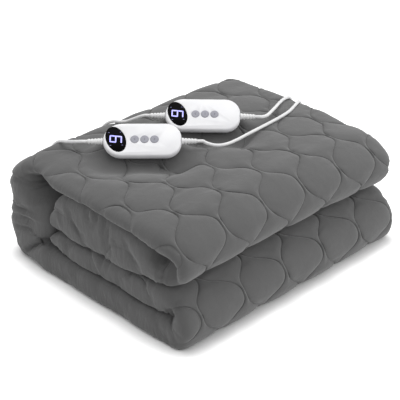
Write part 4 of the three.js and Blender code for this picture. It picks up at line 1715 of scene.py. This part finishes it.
    def build_case(self, plastic: Material) -> None:
        """Moulds the two halves, with the window's recess and the keys' wells in the cover.

        Args:
            plastic: what it is moulded from.
        """
        base_rings, cover_rings = self.shell_rings
        self.fit(self.shell(self.base_levels, base_rings), "underside", plastic, "case", "base")
        cover = finish_mesh(self.shell(self.cover_levels, cover_rings), self.name_of("housing"),
                            plastic)
        above = self.thick * self.CUT_HEIGHT
        recess = self.thick - self.window_depth
        well = self.thick + self.key_proud - self.key_thick - self.key_travel - self.gap
        radius = self.key_radius + self.gap
        cut_out(cover, [
            disc_mesh(self.window_half_length + self.gap, self.window_half_width + self.gap,
                      recess, above, self.window_x, self.window_sides, self.window_turn),
            *(disc_mesh(radius, radius, well, above, x, self.key_sides) for x in self.key_x),
        ])
        rim = cover.modifiers.new("rim", "BEVEL")
        rim.width, rim.segments, rim.limit_method = self.rim_width, self.rim_segments, "ANGLE"
        rim.angle_limit = math.radians(self.rim_angle)
        apply_modifiers(cover)
        cover.data.transform(self.pose())
        cover.data.shade_smooth()
        cover.data.set_sharp_from_angle(angle=math.radians(SMOOTH_ANGLE))
        report(cover, "root", "case", [self.name_of("cover")])

    def build_window(self, acrylic: Material, lit: Material, dim: Material) -> None:
        """Sets the oval window flush in its recess, with the digit that shows through it.

        Args:
            acrylic: the window's finish.
            lit: the digit's.
            dim: the guide marks', which are given a painted glow.
        """
        top = self.thick + self.window_proud
        floor = self.thick - self.window_depth + self.gap
        bm = disc_mesh(self.window_half_length, self.window_half_width, floor, top,
                       self.window_x, self.window_sides, self.window_turn)
        round_top(bm, top, self.window_round)
        self.fit(bm, "window", acrylic, "window", "display")
        self.fit(self.digit_mesh(top), "digit", lit, "window")
        self.fit(self.mark_mesh(top), "guide_marks", dim, "window")

    def digit_mesh(self, top: float) -> Shape:
        """Draws a seven-segment nine that reads from the tail, as thin bars on the window.

        Args:
            top: the window's height.

        Returns:
            The digit.
        """
        bm = bmesh.new()
        high, wide, stroke = self.digit_height / 2, self.digit_width / 2, self.digit_stroke
        # Each bar: its middle, and whether it lies across the digit. Up is towards the head.
        bars = [
            (0.0, high, True), (0.0, 0.0, True), (0.0, -high, True),
            (-wide, high / 2, False), (wide, high / 2, False), (wide, -high / 2, False),
        ]
        for right, up, level in bars:
            span = (wide if level else high / 2) - stroke * self.digit_overlap
            reach = np.array([span, 0.0] if level else [0.0, span])
            middle = np.array([right, up])
            ends = [self.window_point(p[0] + self.digit_slope * p[1], p[1])
                    for p in (middle - reach, middle + reach)]
            add_bar(bm, ends, stroke, top + self.print_lift, self.print_rise)
        return bm

    def window_point(self, right: float, up: float) -> Pair:
        """Turns a place read from the tail into the case's own x and y."""
        return self.window_x - up, right

    def mark_mesh(self, top: float) -> Shape:
        """Draws the four short guide marks round the digit.

        Args:
            top: the window's height.

        Returns:
            The marks.
        """
        bm = bmesh.new()
        for right, up in self.marks:
            ends = [self.window_point(right, up + side * self.mark_length / 2)
                    for side in (-1, 1)]
            add_bar(bm, ends, self.mark_stroke, top + self.print_lift, self.print_rise)
        return bm

    def build_keys(self, rubber: Material, ink: Material) -> None:
        """Makes the three keys, each with a rounded edge and a plain printed mark.

        Args:
            rubber: the keys' finish.
            ink: their marks'.
        """
        top = self.thick + self.key_proud
        for number, x in enumerate(self.key_x, start=1):
            bm = disc_mesh(self.key_radius, self.key_radius, top - self.key_thick, top, x,
                           self.key_sides)
            round_top(bm, top, self.key_round)
            button = f"button_{number}"
            body = self.name_of(button)
            self.fit(bm, f"key_{number}", rubber, "button", button, body)
            mark = self.key_mark(number, x, top)
            self.fit(mark, f"key_mark_{number}", ink, "button", body=body)

    def key_mark(self, number: int, x: float, top: float) -> Shape:
        """Draws a key's plain mark: an arrow towards the head, a bar, or an arrow back.

        Args:
            number: the key's number.
            x: where the key lies.
            top: the height of its top.

        Returns:
            The mark.
        """
        bm = bmesh.new()
        reach = self.key_mark_reach
        bar_x, tip_x, foot_x = (reach * share for share in self.key_mark_places)
        if number == 2:
            bars = [((x + bar_x, -reach), (x + bar_x, reach))]
        else:
            way = -1 if number == 1 else 1
            tip = (x + way * tip_x, 0.0)
            bars = [((x - way * foot_x, side * reach), tip) for side in (-1, 1)]
        for bar in bars:
            add_bar(bm, bar, self.key_mark_stroke, top + self.key_mark_lift, self.key_mark_rise)
        return bm

    def build_reliefs(self, vinyl: Material) -> None:
        """Turns the ribbed, tapered strain reliefs at the case's two ends.

        Args:
            vinyl: what they are moulded from.
        """
        start, stop = self.length / 2 + self.gap, self.relief_length
        first, last = self.relief_radii
        profile = [(start, self.relief_bore), (start, first)]
        for ring in range(self.relief_rings):
            # A ring of full radius, then a groove, as shares of the ring's length.
            for share, inset in ((0.10, 0.0), (0.62, 0.0), (0.72, self.relief_groove),
                                 (0.92, self.relief_groove)):
                place = (ring + share) * (stop / self.relief_rings)
                radius = first + (last - first) * (place / stop)
                profile.append((start + place, radius - inset))
        profile += [(start + stop, last), (start + stop, self.relief_bore)]
        for end, purpose in ((-1, "mains"), (1, "pad")):
            bm = spin_profile([(end * along, radius) for along, radius in profile],
                              self.relief_steps)
            bmesh.ops.translate(bm, vec=(0, 0, self.relief_z), verts=bm.verts)
            self.fit(bm, f"bend_relief_{purpose}", vinyl, "cord", f"relief_{purpose}",
                     smooth_angle=self.relief_angle)

    def lead_exit(self, end: int) -> list[Array]:
        """Gives the points on a lead's axis from inside its relief to where it may bend.

        Args:
            end: -1 for the head's lead, 1 for the tail's.

        Returns:
            The points, from the case outwards.
        """
        origin, axes = self.axes()
        out = self.length / 2 + self.gap + self.relief_length + self.gap
        return [
            origin + axes @ np.array([end * (out + beyond), 0.0, self.relief_z])
            for beyond in self.lead_exits
        ]


# ---- The leads ----


@dataclass(frozen=True)
class Coil:
    """A lead's spare length, wound two turns wide on the floor.

    Attributes:
        centre: its middle, as x and y.
        rows: how many layers it has.
        turns: how many times the lead goes round.
        clockwise: whether it goes round clockwise, seen from above.
    """

    centre: Pair
    rows: int
    turns: float
    clockwise: bool


@dataclass(frozen=True)
class Section:
    """A rounded rectangle across a plug: its distance along, half sizes and corner radius."""

    along: float
    width: float
    height: float
    corner: float


class LeadEnd(Enum):
    """What a lead ends in, by the name that its node has."""

    PLUG = "plug"
    CONNECTOR = "connector"


# A lead's coil, its tail's points, what it ends in, where that is, and which way it points.
FarEnd = tuple[Coil, tuple[Point, ...], LeadEnd, Point, int]


@dataclass
class Lead:
    """A round lead from a controller, over the pad, to its coil and its plug or connector."""

    name: str
    controller: HandController
    end: int
    route: tuple[Point, ...]
    coil: Coil
    tail: tuple[Point, ...]
    ends_in: LeadEnd
    end_place: Point
    heading: int
    diameter: float = 0.0055
    coil_radius: float = 0.030
    floor: float = 0.00285
    round_steps: int = 4
    curve_steps: int = 5
    length_samples: int = 6000
    points_per_turn: int = 18
    shift_turns: float = 0.12
    end_depth: float = 0.003
    clearing_step: float = 0.0025
    body_rings: int = 40
    body_tension: float = 0.2
    corner_steps: int = 8
    blade_size: Point = (0.0015, 0.016, 0.0063)
    blade_spacing: float = 0.0127
    blade_gap: float = 0.0003
    blade_round: float = 0.0018
    hole_radius: float = 0.0016
    hole_along: float = 0.0038
    hole_depth: float = 0.01
    hole_sides: int = 24
    plug_sections: tuple[Section, ...] = (
        Section(0.0, 0.004, 0.004, 0.004),
        Section(0.013, 0.0052, 0.0052, 0.005),
        Section(0.018, 0.0105, 0.0078, 0.006),
        Section(0.024, 0.012, 0.009, 0.006),
        Section(0.040, 0.0125, 0.009, 0.0055),
        Section(0.042, 0.011, 0.0078, 0.005),
    )
    connector_sections: tuple[Section, ...] = (
        Section(0.0, 0.0039, 0.0039, 0.0039),
        Section(0.011, 0.0046, 0.0046, 0.0044),
        Section(0.013, 0.0056, 0.0096, 0.003),
        Section(0.015, 0.0065, 0.011, 0.003),
        Section(0.047, 0.0065, 0.011, 0.003),
        Section(0.049, 0.0054, 0.0098, 0.003),
    )

    def coil_points(self) -> list[Array]:
        """Winds the coil: out and in on the lowest layer, in and out on the next, and so on.

        Returns:
            The points, from where the lead comes in.
        """
        half = self.diameter / 2
        slots = []
        for row in range(self.coil.rows):
            pair = [(half, row), (-half, row)]
            slots += pair if row % 2 == 0 else pair[::-1]
        steps = int(round(self.coil.turns * self.points_per_turn))
        points = []
        for k in range(steps + 1):
            turn = k / self.points_per_turn
            radial, level = slots[0]
            for index in range(1, len(slots)):
                start = index * (1 - self.shift_turns)
                share = float(smooth_step(np.array(turn), start, start + self.shift_turns))
                radial += (slots[index][0] - slots[index - 1][0]) * share
                level += (slots[index][1] - slots[index - 1][1]) * share
            way = -1 if self.coil.clockwise else 1
            angle = math.pi + way * 2 * math.pi * turn
            radius = self.coil_radius + radial
            points.append(np.array([
                self.coil.centre[0] + radius * math.cos(angle),
                self.coil.centre[1] + radius * math.sin(angle),
                self.floor + self.diameter * level,
            ]))
        return points

    def points(self) -> Array:
        """Gives every point that the lead runs through.

        Returns:
            The points, from the controller to the far end.
        """
        inside = np.array(self.end_place) + np.array([0, self.heading * self.end_depth, 0])
        route = [np.array(p) for p in self.route]
        tail = [np.array(p) for p in self.tail]
        return np.array(
            [*self.controller.lead_exit(self.end), *route, *self.coil_points(), *tail, inside]
        )

    def dense(self) -> Array:
        """Gives points close together on the part of the lead that lies over the pad."""
        free = self.points()[: len(self.controller.lead_exits) + len(self.route)]
        return resample(free, self.clearing_step)

    def build(self, vinyl: Material) -> Piece:
        """Draws the lead as one smooth curve through its points.

        Args:
            vinyl: what its sheath is made of.

        Returns:
            The lead's object.
        """
        points = self.points()
        curve = bpy.data.curves.new(f"{self.name}_cable", "CURVE")
        curve.dimensions = "3D"
        curve.bevel_depth = self.diameter / 2
        curve.bevel_resolution = self.round_steps
        curve.resolution_u = self.curve_steps
        curve.use_fill_caps = True
        spline = curve.splines.new("BEZIER")
        spline.bezier_points.add(len(points) - 1)
        outward, inward = tangents(points)
        leaving, arriving = np.vstack([outward, inward[-1:]]), np.vstack([outward[:1], inward])
        for knot, point, before, after in zip(spline.bezier_points, points, arriving, leaving):
            knot.handle_left_type = knot.handle_right_type = "FREE"
            knot.co = point
            knot.handle_left = point - before / 3
            knot.handle_right = point + after / 3
        curve.materials.append(vinyl)
        return put_in_scene(f"{self.name}_cable", curve)

    def end_pose(self) -> Matrix:
        """Gives the matrix that sets the plug or connector on the lead's end."""
        flip = Matrix.Diagonal((1.0, float(self.heading), 1.0, 1.0))
        return Matrix.Translation(self.end_place) @ flip

    def end_body(self, sections: Sequence[Section]) -> Shape:
        """Skins a moulded end through its sections.

        Args:
            sections: its sections, from the lead outwards.

        Returns:
            The closed body.
        """
        table = np.array([(s.along, s.width, s.height, s.corner) for s in sections])
        smooth = catmull_rom(table, np.linspace(0, 1, self.body_rings), self.body_tension)
        stack = []
        for along, width, height, corner in smooth:
            corner = min(corner, width, height)
            ring = []
            for side_x, side_z, first in ((1, 1, 0), (-1, 1, 1), (-1, -1, 2), (1, -1, 3)):
                for step in range(self.corner_steps + 1):
                    angle = math.pi / 2 * (first + step / self.corner_steps)
                    ring.append((side_x * (width - corner) + corner * math.cos(angle), along,
                                 side_z * (height - corner) + corner * math.sin(angle)))
            stack.append([*ring, ring[0]])
        return skin(np.array(stack))

    def build_end(self, vinyl: Material, brass: Material) -> list[Piece]:
        """Moulds the plug with its two blades, or the flat connector.

        Args:
            vinyl: what it is moulded from.
            brass: the blades' finish.

        Returns:
            Its pieces.
        """
        plug = self.ends_in is LeadEnd.PLUG
        bm = self.end_body(self.plug_sections if plug else self.connector_sections)
        name = f"{self.name}_{'moulded_plug' if plug else 'joiner'}"
        body = finish_mesh(bm, name, vinyl, self.end_pose())
        report(body, "root", "cord", [f"{self.name}_{self.ends_in.value}"])
        if not plug:
            return [body]
        return [body, *(self.build_blade(number, side, brass)
                        for number, side in ((1, -1), (2, 1)))]

    def build_blade(self, number: int, side: int, brass: Material) -> Piece:
        """Cuts one of the plug's blades from strip, with its tip rounded and its hole punched.

        Args:
            number: the blade's number.
            side: -1 or 1, the side of the plug that it is on.
            brass: the strip.

        Returns:
            The blade.
        """
        x = side * self.blade_spacing / 2
        y = self.plug_sections[-1].along + self.blade_gap + self.blade_size[1] / 2
        bm = bmesh.new()
        bmesh.ops.create_cube(bm, size=1.0)
        bmesh.ops.scale(bm, vec=self.blade_size, verts=bm.verts)
        tips = [e for e in bm.edges if all(v.co.y > 0 for v in e.verts)
                and abs(e.verts[0].co.x - e.verts[1].co.x) > TINY]
        round_edges(bm, tips, self.blade_round)
        bmesh.ops.translate(bm, vec=(x, y, 0), verts=bm.verts)
        strip = finish_mesh(bm, f"{self.name}_prong_{number}", brass, self.end_pose())
        hole = bmesh.new()
        bmesh.ops.create_cone(hole, cap_ends=True, segments=self.hole_sides,
                              radius1=self.hole_radius, radius2=self.hole_radius,
                              depth=self.hole_depth)
        bmesh.ops.rotate(hole, verts=hole.verts, matrix=Matrix.Rotation(math.pi / 2, 3, "Y"))
        bmesh.ops.translate(hole, vec=(x, y + self.hole_along, 0), verts=hole.verts)
        bmesh.ops.transform(hole, matrix=self.end_pose(), verts=hole.verts)
        bmesh.ops.recalc_face_normals(hole, faces=hole.faces)
        cut_out(strip, [hole])
        report(strip, "root", "blade", [f"{self.name}_blade_{number}"])
        return strip

    def declare(self, cable: Piece, ends: Sequence[Piece]) -> None:
        """Says what the lead is, and logs its length.

        Args:
            cable: the lead's object.
            ends: the pieces at its far end; not used.
        """
        report(cable, "root", "cord",
               [self.name, f"{self.name}_coil", f"{self.name}_tail"])
        length = curve_length(catmull_rom(self.points(), np.linspace(0, 1, self.length_samples)))
        LOG.info("%s is %.2f m long", self.name, length)
        tuple(float(c) for c in self.controller.lead_exit(self.end)[1])


# ---- The studio ----


@dataclass(frozen=True)
class Lamp:
    """A soft square lamp: its power, its size, and where it stands and points."""

    name: str
    power: float
    size: float
    place: Point
    target: Point


@dataclass
class Studio:
    """A plain pale floor, soft lamps and the camera."""

    WHITE = (1.0, 1.0, 1.0, 1.0)

    camera_place: Point = (-1.140, -1.1595, 0.943)
    azimuth: float = -44.3
    elevation: float = 27.8
    lens: float = 96.75
    sensor: float = 36.0
    floor_size: float = 12.0
    floor_drop: float = 0.0002
    floor_colour: str = "f0f0f0"
    floor_glow: float = 0.55
    tooth_scale: float = 900.0
    tooth: Relief = Relief(0.05, 0.0001)
    contact_reach: float = 0.024
    contact_depth: float = 2.0
    world_strength: float = 0.62
    lamps: tuple[Lamp, ...] = (
        Lamp("overhead_softbox", 26.0, 2.2, (0.3, 0.5, 2.3), (0.0, 0.0, 0.1)),
        Lamp("front_softbox", 26.0, 2.0, (1.5, -2.25, 1.25), (0.0, 0.0, 0.1)),
    )

    def build_camera(self) -> None:
        """Sets the camera up."""
        data = bpy.data.cameras.new("camera")
        data.lens = self.lens
        data.sensor_width = self.sensor
        camera = put_in_scene("camera", data)
        around, above = math.radians(self.azimuth), math.radians(self.elevation)
        back = Vector((math.sin(around) * math.cos(above), -math.cos(around) * math.cos(above),
                       math.sin(above)))
        camera.location = self.camera_place
        camera.rotation_euler = back.to_track_quat("Z", "Y").to_euler()
        bpy.context.scene.camera = camera

    def build_floor(self) -> None:
        """Lays the floor, which keeps the shadow and is near white to the camera."""
        bm = bmesh.new()
        bmesh.ops.create_grid(bm, x_segments=1, y_segments=1, size=self.floor_size / 2)
        bmesh.ops.translate(bm, vec=(0, 0, -self.floor_drop), verts=bm.verts)
        shader = Shader("painted_paper_backdrop")
        node = shader.node
        place = node("TexCoord", out="Object")
        tooth = node("TexNoise", {"Vector": place, "Scale": self.tooth_scale})
        bump = node("Bump", {"Height": tooth, "Strength": self.tooth.strength,
                             "Distance": self.tooth.depth})
        paper = node("BsdfDiffuse", {"Color": srgb(self.floor_colour), "Normal": bump})
        # The glow fades where the object stands close, so that its contact shadow stays.
        open_sky = node("AmbientOcclusion", {"Distance": self.contact_reach}, out="AO")
        open_sky = node("Math", (open_sky, self.contact_depth), operation="POWER")
        level = self.seen_by(shader, "Is Glossy Ray")
        for factor in (self.floor_glow, open_sky):
            level = node("Math", (level, factor), operation="MULTIPLY")
        glow = node("Emission", {"Color": self.WHITE, "Strength": level})
        both = node("AddShader", (paper, glow))
        finish_mesh(bm, "floor", shader.surface(both))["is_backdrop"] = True

    def seen_by(self, tree: NodeTree, other: str) -> Socket:
        """Gives 1 for the camera's rays and for one other kind, and 0 for the rest."""
        rays = [tree.node("LightPath", out=kind) for kind in ("Is Camera Ray", other)]
        return tree.node("Math", rays, operation="MAXIMUM")

    def build_lamps(self) -> None:
        """Hangs the lamps and lights the world, which is white to the camera."""
        for lamp in self.lamps:
            data = bpy.data.lights.new(lamp.name, "AREA")
            data.energy, data.size = lamp.power, lamp.size
            made = put_in_scene(lamp.name, data)
            made.location = lamp.place
            away = Vector(lamp.place) - Vector(lamp.target)
            made.rotation_euler = away.to_track_quat("Z", "Y").to_euler()
        world = bpy.data.worlds.new("studio")
        bpy.context.scene.world = world
        sky = NodeTree(world, "OutputWorld")
        seen = self.seen_by(sky, "Is Transmission Ray")
        level = sky.node("MapRange", {"Value": seen, "To Min": self.world_strength})
        sky.end_in(sky.node("Background", {"Color": self.WHITE, "Strength": level}))
        bpy.context.scene.view_settings.view_transform = "Standard"


# ---- The object ----


def mains_end(x: float) -> FarEnd:
    """Gives a mains lead's coil behind the pad, and its tail and plug beside it.

    Args:
        x: where the coil's middle lies.

    Returns:
        The coil, the tail's points, what it ends in, where that is, and which way it points.
    """
    *tail, plug = (
        (round(x + out, 4), y, z)
        for out, y, z in (
            (0.021, 0.3125, 0.018), (0.034, 0.3105, 0.0145), (0.048, 0.3075, 0.011),
            (0.0575, 0.300, 0.0095), (0.059, 0.294, 0.0093), (0.059, 0.2902, 0.0093),
            (0.059, 0.2897, 0.0093),
        )
    )
    return Coil((x, 0.280), 4, 7.25, True), tuple(tail), LeadEnd.PLUG, plug, -1


def pad_end(y: float, way: int) -> FarEnd:
    """Gives a pad lead's coil beside the pad, and its tail up to the connector on the pad.

    Args:
        y: where the coil's middle lies.
        way: 1 if the tail leads towards +Y, and -1 if it leads the other way.

    Returns:
        The same things as mains_end.
    """
    *tail, connector = (
        (x, round(y + way * out, 4), z)
        for x, out, z in (
            (0.2693, 0.0193, 0.009), (0.2678, 0.032, 0.012), (0.264, 0.044, 0.0165),
            (0.2613, 0.052, 0.0202), (0.2609, 0.057, 0.021), (0.2609, 0.0608, 0.021),
            (0.2609, 0.0613, 0.021),
        )
    )
    return Coil((0.302, y), 2, 4.0, way > 0), tuple(tail), LeadEnd.CONNECTOR, connector, way


def make_leads(a: HandController, b: HandController) -> list[Lead]:
    """Gives the four leads: two from the heads to their plugs, two from the tails.

    Args:
        a: the nearer controller.
        b: the farther one.

    Returns:
        The leads.
    """
    return [
        Lead("mains_lead_a", a, -1, (
            (-0.174, 0.1085, 0.2158), (-0.179, 0.118, 0.214), (-0.18, 0.13, 0.2105),
            (-0.178, 0.143, 0.206), (-0.1745, 0.156, 0.201), (-0.1705, 0.169, 0.1953),
            (-0.1665, 0.182, 0.1876), (-0.1635, 0.195, 0.1775), (-0.1615, 0.2065, 0.164),
            (-0.1605, 0.2168, 0.145), (-0.16, 0.2233, 0.122), (-0.1595, 0.2277, 0.098),
            (-0.1585, 0.2295, 0.074), (-0.1565, 0.231, 0.05), (-0.1525, 0.2335, 0.029),
            (-0.1465, 0.2393, 0.012), (-0.139, 0.249, 0.004), (-0.1345, 0.2613, 0.00285),
        ), *mains_end(-0.102)),
        Lead("mains_lead_b", b, -1, (
            (-0.044, 0.125, 0.2112), (-0.049, 0.139, 0.2035), (-0.051, 0.153, 0.1989),
            (-0.0515, 0.168, 0.1955), (-0.0525, 0.182, 0.1893), (-0.053, 0.1952, 0.1787),
            (-0.052, 0.2076, 0.1650), (-0.05, 0.2168, 0.147), (-0.047, 0.2235, 0.124),
            (-0.043, 0.2275, 0.099), (-0.038, 0.229, 0.074), (-0.032, 0.2305, 0.05),
            (-0.025, 0.233, 0.029), (-0.016, 0.239, 0.012), (-0.008, 0.249, 0.004),
            (-0.0035, 0.2613, 0.00285),
        ), *mains_end(0.029)),
        Lead("pad_lead_a", a, 1, (
            (-0.029, -0.032, 0.2143), (-0.0185, -0.039, 0.2086), (-0.0041, -0.0423, 0.2042),
            (0.0141, -0.0427, 0.2014), (0.035, -0.0412, 0.2002), (0.0539, -0.041, 0.2015),
            (0.071, -0.043, 0.2045), (0.0908, -0.043, 0.206), (0.114, -0.04, 0.2056),
            (0.1381, -0.0366, 0.205), (0.1606, -0.0325, 0.2044), (0.1827, -0.0268, 0.2036),
            (0.205, -0.0177, 0.2026), (0.2253, -0.0082, 0.2015), (0.2395, -0.001, 0.1986),
            (0.2495, 0.004, 0.1886), (0.256, 0.007, 0.172), (0.26, 0.008, 0.15),
            (0.262, 0.006, 0.126), (0.263, 0.002, 0.1), (0.2635, -0.004, 0.075),
            (0.2645, -0.011, 0.05), (0.266, -0.019, 0.028), (0.2675, -0.029, 0.011),
            (0.2693, -0.042, 0.0033),
        ), *pad_end(-0.061, -1)),
        Lead("pad_lead_b", b, 1, (
            (0.1044, -0.0336, 0.219), (0.1165, -0.0326, 0.217), (0.134, -0.0248, 0.214),
            (0.1533, -0.0143, 0.2108), (0.1746, -0.0034, 0.208), (0.1955, 0.0071, 0.206),
            (0.2132, 0.0145, 0.2048), (0.2287, 0.0196, 0.2026), (0.2415, 0.0235, 0.1982),
            (0.2508, 0.027, 0.1876), (0.2565, 0.031, 0.1715), (0.26, 0.0365, 0.15),
            (0.2625, 0.0425, 0.125), (0.2635, 0.0485, 0.098), (0.2645, 0.0545, 0.07),
            (0.266, 0.06, 0.043), (0.2675, 0.066, 0.02), (0.2692, 0.0753, 0.005),
        ), *pad_end(0.095, 1)),
    ]


def main() -> None:
    """Builds the studio, the leads, the pad and the controllers."""
    logging.basicConfig(level=logging.INFO, format="%(name)s: %(message)s")
    cad_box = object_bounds()
    studio = Studio()
    studio.build_camera()
    a = HandController("a", (-0.0957, 0.0444, 0.204), -44.0, 36.0)
    b = HandController("b", (0.0399, 0.0428, 0.2079), -46.0, 36.0)
    leads = make_leads(a, b)
    vinyl, brass = Finish.LEAD.value.build(), RolledBrass().build()
    for lead in leads:
        cable = lead.build(vinyl)
        lead.declare(cable, lead.build_end(vinyl, brass))
    studio.build_floor()
    studio.build_lamps()
    pad = FoldedPad()
    cloth = BrushedMicrofibre().build(pad.quilting)
    cords = [lead.dense() for lead in leads]
    quilt = pad.build((a, b), cords, leads[0].diameter / 2, cloth)
    report(quilt, "root", "quilt", ["quilted_pad"])
    plastic, rubber = Finish.CASE.value.build(), Finish.BUTTON.value.build()
    acrylic, ink = Finish.WINDOW.value.build(), Finish.MARK.value.build()
    lit = LitSegment("lit_display_segment", "9a9bff", 1.6).build()
    # Painted glow: the guide marks are given a faint emission of their own, though they are no
    # lamp.
    dim = LitSegment("painted_glow_display_legend", "7c7bc4", 0.5).build()
    for controller in (a, b):
        controller.build_case(plastic)
        controller.build_window(acrylic, lit, dim)
        controller.build_keys(rubber, ink)
        controller.build_reliefs(vinyl)
    boxes = {"cad": cad_box, "visual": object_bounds()}
    {k: [[float(c) for c in corner] for corner in v] for k, v in boxes.items()}


if __name__ == "__main__":
    main()
